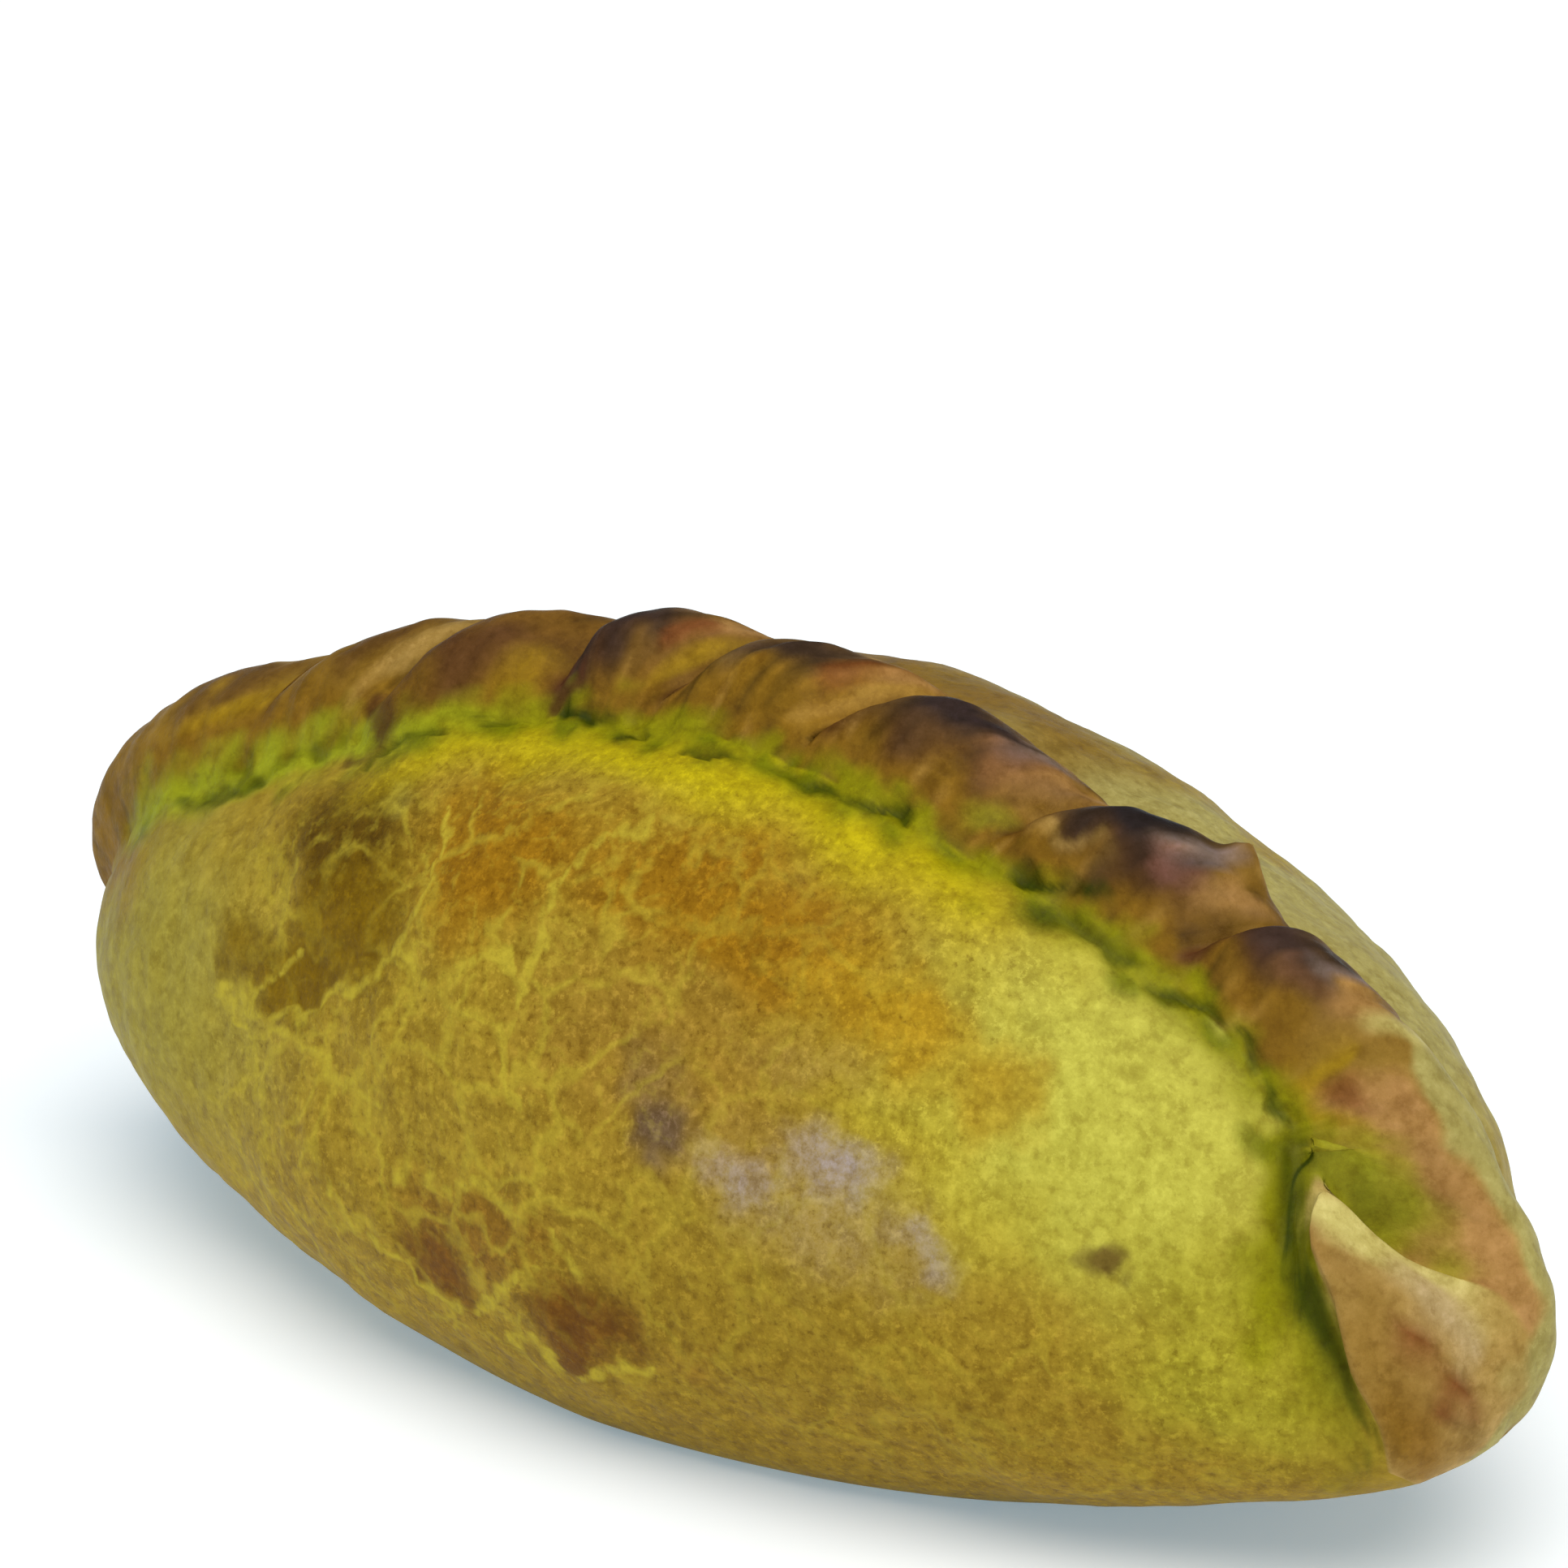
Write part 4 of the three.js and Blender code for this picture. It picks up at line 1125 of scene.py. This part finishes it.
class Shader:
    """Short calls for adding and joining the nodes of one material."""

    def __init__(self, name):
        """New material with its surface node."""
        self.material = bpy.data.materials.new(name)
        self.material.use_nodes = True
        self.tree = self.material.node_tree
        self.surface = self.tree.nodes["Principled BSDF"]

    def put(self, value, socket):
        """Join an output to a socket, or set the socket to a constant."""
        if isinstance(value, bpy.types.NodeSocket):
            self.tree.links.new(value, socket)
        else:
            socket.default_value = value

    def add(self, kind, inputs=None, **settings):
        """New node with its settings and inputs."""
        node = self.tree.nodes.new(kind)
        for key, value in settings.items():
            setattr(node, key, value)
        for key, value in (inputs or {}).items():
            self.put(value, node.inputs[key])
        return node

    def math(self, operation, a, b):
        """Result of an operation on two numbers."""
        return self.add("ShaderNodeMath", {0: a, 1: b}, operation=operation).outputs[0]

    def vector(self, operation, inputs):
        """Result of an operation on vectors."""
        return self.add("ShaderNodeVectorMath", inputs, operation=operation).outputs[0]

    def attribute(self, name, output="Fac"):
        """Values painted on the mesh."""
        return self.add("ShaderNodeAttribute", attribute_name=name).outputs[output]

    def step(self, pair, value, levels=(0.0, 1.0)):
        """Smooth change from the first level to the second between the pair's two numbers."""
        inputs = {"Value": value, "From Min": pair[0], "From Max": pair[1]}
        inputs.update({"To Min": levels[0], "To Max": levels[1]})
        return self.add("ShaderNodeMapRange", inputs, interpolation_type="SMOOTHSTEP").outputs["Result"]

    def noise(self, place, pattern, output="Fac"):
        """Cloudy noise of a scale per millimetre, detail and roughness."""
        scale, detail, roughness = pattern
        inputs = {"Vector": place, "Scale": scale, "Detail": detail, "Roughness": roughness}
        return self.add("ShaderNodeTexNoise", inputs).outputs[output]

    def cell_edge(self, place, scale):
        """Distance to the nearest border between random cells."""
        inputs = {"Vector": place, "Scale": scale}
        return self.add("ShaderNodeTexVoronoi", inputs, feature="DISTANCE_TO_EDGE").outputs["Distance"]

    def blend(self, share, a, b, mode="MIX"):
        """Colour a with colour b laid over it."""
        node = self.add("ShaderNodeMix", data_type="RGBA", blend_type=mode, clamp_factor=True)
        self.put(share, node.inputs["Factor"])
        self.put(a, node.inputs["A"])
        self.put(b, node.inputs["B"])
        return node.outputs["Result"]

    def shifted(self, place, shift):
        """Place moved about by up to half of an amount each way, by coloured noise of a scale."""
        amount, scale = shift
        wobble = self.noise(place, (scale, *SHIFT_PATTERN), "Color")
        centred = self.vector("SUBTRACT", {0: wobble, 1: (0.5, 0.5, 0.5)})
        return self.vector("ADD", {0: place, 1: self.vector("SCALE", {0: centred, 3: amount})})


def rgba(colour):
    """Colour with full cover, as plain numbers."""
    return (*[float(c) for c in colour], 1.0)


# Crust noises: scale per millimetre, detail and roughness
PATCH_NOISE = (0.22, 4.0, 0.6)
BLOTCH_NOISE = (0.34, 4.0, 0.62)
MOTTLE_NOISE = (0.75, 4.0, 0.65)
SPECKLE_NOISE = (1.3, 4.0, 0.75)
SHIFT_PATTERN = (2.0, 0.55)

# Shifts of place: amount in millimetres and scale of the noise
BLOTCH_SHIFT = (3.0, 0.5)
VEIN_SHIFTS = ((6.0, 0.12), (4.0, 0.30), (0.7, 0.9))

# Veins: cells per millimetre, and pairs where a line or its noise begins and is full
WIDE_CELLS = 0.135
WIDE_LINE = (0.095, 0.0)
WIDE_PLACES = (0.36, 0.52)
SMALL_CELLS = 0.28
SMALL_LINE = (0.13, 0.0)
SMALL_PLACES = (0.44, 0.62)
SMALL_STRENGTH = 0.6
NETWORK_STRENGTH = 0.8
DRAWN_LINE = (0.72, 0.05)
NOISE_MIDDLE = 0.5
VEIN_BROKEN = (0.30, 0.60)
VEIN_BROKEN_LEVELS = (0.65, 1.0)
VEIN_COVER = 0.72

# Mottling: what dark and light spots multiply the ground by, where they begin and are full
DARKER = (0.62, 0.55, 0.40, 1.0)
LIGHTER = (1.38, 1.42, 1.75, 1.0)
DARK_NOISE = (0.51, 0.31)
LIGHT_NOISE = (0.51, 0.71)
BLOTCH_DARK = 0.45
BLOTCH_LIGHT = 0.35
MOTTLE_DARK = 0.55
MOTTLE_LIGHT = 0.50
FINE_DARK_NOISE = (0.49, 0.28)
FINE_LIGHT_NOISE = (0.50, 0.68)

# Gloss and bump, its distance in metres
GLINT_NOISE = (0.34, 0.66)
GLINT_LEVELS = (0.35, 1.0)
GLINT_COVER = 0.8
ROUGH_NOISE = (0.3, 0.7)
ROUGH_LEVELS = (0.42, 0.58)
ROUGH_ON_VEINS = 0.10
ROUGH_LESS_IN_SHEEN = 0.12
CRUST_SPECULAR = 0.06
VEIN_BUMP = 0.35
SPECKLE_BUMP = 0.6
MOTTLE_BUMP = 0.8
BUMP_STRENGTH = 0.4
BUMP_DISTANCE = 0.0003


def vein_network(crust, place, mottle, speckle):
    """Strength of the pale veins: borders of wide and small cells in a shifted place, each broken up by
    noise, and the veins drawn on the front belly."""
    patches = crust.noise(place, PATCH_NOISE)
    wander = place
    for shift in VEIN_SHIFTS:
        wander = crust.shifted(wander, shift)
    lines = crust.step(WIDE_LINE, crust.cell_edge(wander, WIDE_CELLS))
    lines = crust.math("MULTIPLY", lines, crust.step(WIDE_PLACES, patches))
    small_lines = crust.step(SMALL_LINE, crust.cell_edge(wander, SMALL_CELLS))
    small_lines = crust.math("MULTIPLY", small_lines, crust.step(SMALL_PLACES, mottle))
    network = crust.math("MAXIMUM", lines, crust.math("MULTIPLY", small_lines, SMALL_STRENGTH))
    network = crust.math("MULTIPLY", network, crust.attribute("veined"))
    network = crust.math("MULTIPLY", network, NETWORK_STRENGTH)
    uneven = crust.math("SUBTRACT", mottle, NOISE_MIDDLE)
    drawn = crust.step(DRAWN_LINE, crust.math("ADD", crust.attribute("vein"), uneven))
    network = crust.math("MAXIMUM", network, drawn)
    return crust.math("MULTIPLY", network, crust.step(VEIN_BROKEN, speckle, VEIN_BROKEN_LEVELS))


def crust_material():
    """Glazed crust: painted ground, mottling, fine grain, a pale network of veins, a painted lilac sheen
    and a broken gloss.
    """
    crust = Shader("glazed_crust")
    place = crust.add("ShaderNodeTexCoord").outputs["Object"]
    place = crust.vector("SCALE", {0: place, 3: 1 / MILLIMETRE})
    ground = crust.attribute("ground", "Color")
    grain = crust.attribute("grain")
    sheen = crust.attribute("sheen")
    blotch = crust.noise(crust.shifted(place, BLOTCH_SHIFT), BLOTCH_NOISE)
    mottle = crust.noise(place, MOTTLE_NOISE)
    speckle = crust.noise(place, SPECKLE_NOISE)
    network = vein_network(crust, place, mottle, speckle)

    dark = crust.blend(1.0, ground, DARKER, "MULTIPLY")
    light = crust.blend(1.0, ground, LIGHTER, "MULTIPLY")
    glint = crust.step(GLINT_NOISE, speckle, GLINT_LEVELS)
    layers = [
        (crust.step(DARK_NOISE, blotch), BLOTCH_DARK, dark),
        (crust.step(LIGHT_NOISE, blotch), BLOTCH_LIGHT, light),
        (crust.step(DARK_NOISE, mottle), MOTTLE_DARK, dark),
        (crust.step(LIGHT_NOISE, mottle), MOTTLE_LIGHT, light),
        (crust.step(FINE_DARK_NOISE, speckle), grain, dark),
        (crust.step(FINE_LIGHT_NOISE, speckle), grain, light),
        (network, VEIN_COVER, rgba(VEIN_PALE)),
        # Painted sheen: lilac laid over the colour where the sheen zones and the glint noise meet
        (crust.math("MULTIPLY", sheen, glint), GLINT_COVER, rgba(PAINTED_SHEEN_LILAC)),
    ]
    colour = ground
    for mask, strength, paint in layers:
        colour = crust.blend(crust.math("MULTIPLY", mask, strength), colour, paint)

    rough = crust.step(ROUGH_NOISE, speckle, ROUGH_LEVELS)
    rough = crust.math("ADD", rough, crust.math("MULTIPLY", network, ROUGH_ON_VEINS))
    rough = crust.math("SUBTRACT", rough, crust.math("MULTIPLY", sheen, ROUGH_LESS_IN_SHEEN))
    height = crust.math("MULTIPLY", network, VEIN_BUMP)
    height = crust.math("ADD", height, crust.math("MULTIPLY", speckle, SPECKLE_BUMP))
    height = crust.math("ADD", height, crust.math("MULTIPLY", mottle, MOTTLE_BUMP))
    inputs = {"Height": height, "Strength": BUMP_STRENGTH, "Distance": BUMP_DISTANCE}
    bump = crust.add("ShaderNodeBump", inputs)

    crust.put(colour, crust.surface.inputs["Base Color"])
    crust.put(CRUST_SPECULAR, crust.surface.inputs["Specular IOR Level"])
    crust.put(rough, crust.surface.inputs["Roughness"])
    crust.put(bump.outputs["Normal"], crust.surface.inputs["Normal"])
    return crust.material


# Floor: half its side in metres, and a faint bluish glow
FLOOR_HALF = 3.0
FLOOR_COLOUR = (0.98, 0.93, 0.90, 1.0)
FLOOR_ROUGHNESS = 0.7
FLOOR_GLOW = (0.42, 0.74, 1.0, 1.0)
FLOOR_GLOW_STRENGTH = 0.26


def floor_piece():
    """A wide flat square on the resting plane."""
    half = FLOOR_HALF
    corners = [(-half, -half, 0), (half, -half, 0), (half, half, 0), (-half, half, 0)]
    mesh = bpy.data.meshes.new("floor")
    mesh.from_pydata(corners, [], [(0, 1, 2, 3)])
    floor = bpy.data.objects.new("floor", mesh)
    bpy.context.scene.collection.objects.link(floor)
    finish = Shader("pale_floor")
    finish.surface.inputs["Base Color"].default_value = FLOOR_COLOUR
    finish.surface.inputs["Roughness"].default_value = FLOOR_ROUGHNESS
    finish.surface.inputs["Emission Color"].default_value = FLOOR_GLOW
    finish.surface.inputs["Emission Strength"].default_value = FLOOR_GLOW_STRENGTH
    mesh.materials.append(finish.material)


def direction(azimuth, elevation):
    """Unit vector towards a place seen at these angles: azimuth 0 is the front, 90 the right."""
    a, e = math.radians(azimuth), math.radians(elevation)
    return Vector((math.sin(a) * math.cos(e), -math.cos(a) * math.cos(e), math.sin(e)))


# Camera: the photograph's frame, with sizes in its pixels, places in metres, sensor in millimetres
IMAGE_SIDE = 1932
FOCAL_LENGTH = 7850
SENSOR_WIDTH = 36
NEAREST_SEEN = 0.01
CAMERA_AZIMUTH = 38.92
CAMERA_ELEVATION = 23.29
CAMERA_DISTANCE = 0.450
FRAME_MIDDLE = Vector((0.0004, -0.0102, 0.028))
AIM_RIGHT = 0.0041
AIM_UP = 0.0151


def photo_camera():
    """Camera where the photograph was taken, aimed at what lies in the middle of its frame."""
    back = direction(CAMERA_AZIMUTH, CAMERA_ELEVATION)
    right = Vector((0, 0, 1)).cross(back).normalized()
    up = back.cross(right)
    lens = bpy.data.cameras.new("camera")
    lens.sensor_width = SENSOR_WIDTH
    lens.lens = FOCAL_LENGTH / IMAGE_SIDE * SENSOR_WIDTH
    lens.clip_start = NEAREST_SEEN
    camera = bpy.data.objects.new("camera", lens)
    camera.location = FRAME_MIDDLE + back * CAMERA_DISTANCE
    aim = FRAME_MIDDLE + right * AIM_RIGHT + up * AIM_UP
    camera.rotation_euler = (aim - camera.location).to_track_quat("-Z", "Y").to_euler()
    bpy.context.scene.collection.objects.link(camera)
    bpy.context.scene.camera = camera


# Sky, and far lights: name, azimuth, elevation and spread in degrees, strength, colour, shadow
SKY_COLOUR = (0.74, 0.90, 1.0, 1.0)
SKY_STRENGTH = 0.34
LIGHTS = [
    ("overhead", 52, 71, 58, 2.25, (1.0, 0.965, 0.90), True),
    ("window", -14, 16, 20, 0.35, (0.92, 0.96, 1.0), False),
    ("side", 85, 42, 20, 0.25, (1.0, 0.98, 0.96), False),
]


def soft_light(name, azimuth, elevation, spread, strength, colour, shadow):
    """Far light of wide spread shining on the pastry from these angles."""
    lamp = bpy.data.lights.new(name, "SUN")
    lamp.angle = math.radians(spread)
    lamp.energy = strength
    lamp.color = colour
    lamp.use_shadow = shadow
    light = bpy.data.objects.new(name, lamp)
    towards = direction(azimuth, elevation)
    light.location = towards
    light.rotation_euler = towards.to_track_quat("Z", "Y").to_euler()
    bpy.context.scene.collection.objects.link(light)


def studio():
    """Pale sky, a broad light overhead from the right, and two weak lights that cast no shadow."""
    world = bpy.data.worlds.new("studio")
    world.use_nodes = True
    sky = world.node_tree.nodes["Background"]
    sky.inputs["Color"].default_value = SKY_COLOUR
    sky.inputs["Strength"].default_value = SKY_STRENGTH
    bpy.context.scene.world = world
    for light in LIGHTS:
        soft_light(*light)
    bpy.context.scene.view_settings.view_transform = "Standard"


pastry = pastry_piece()
pastry.data.materials.append(crust_material())
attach(pastry, "root")
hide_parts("pastry")
floor_piece()
photo_camera()
studio()
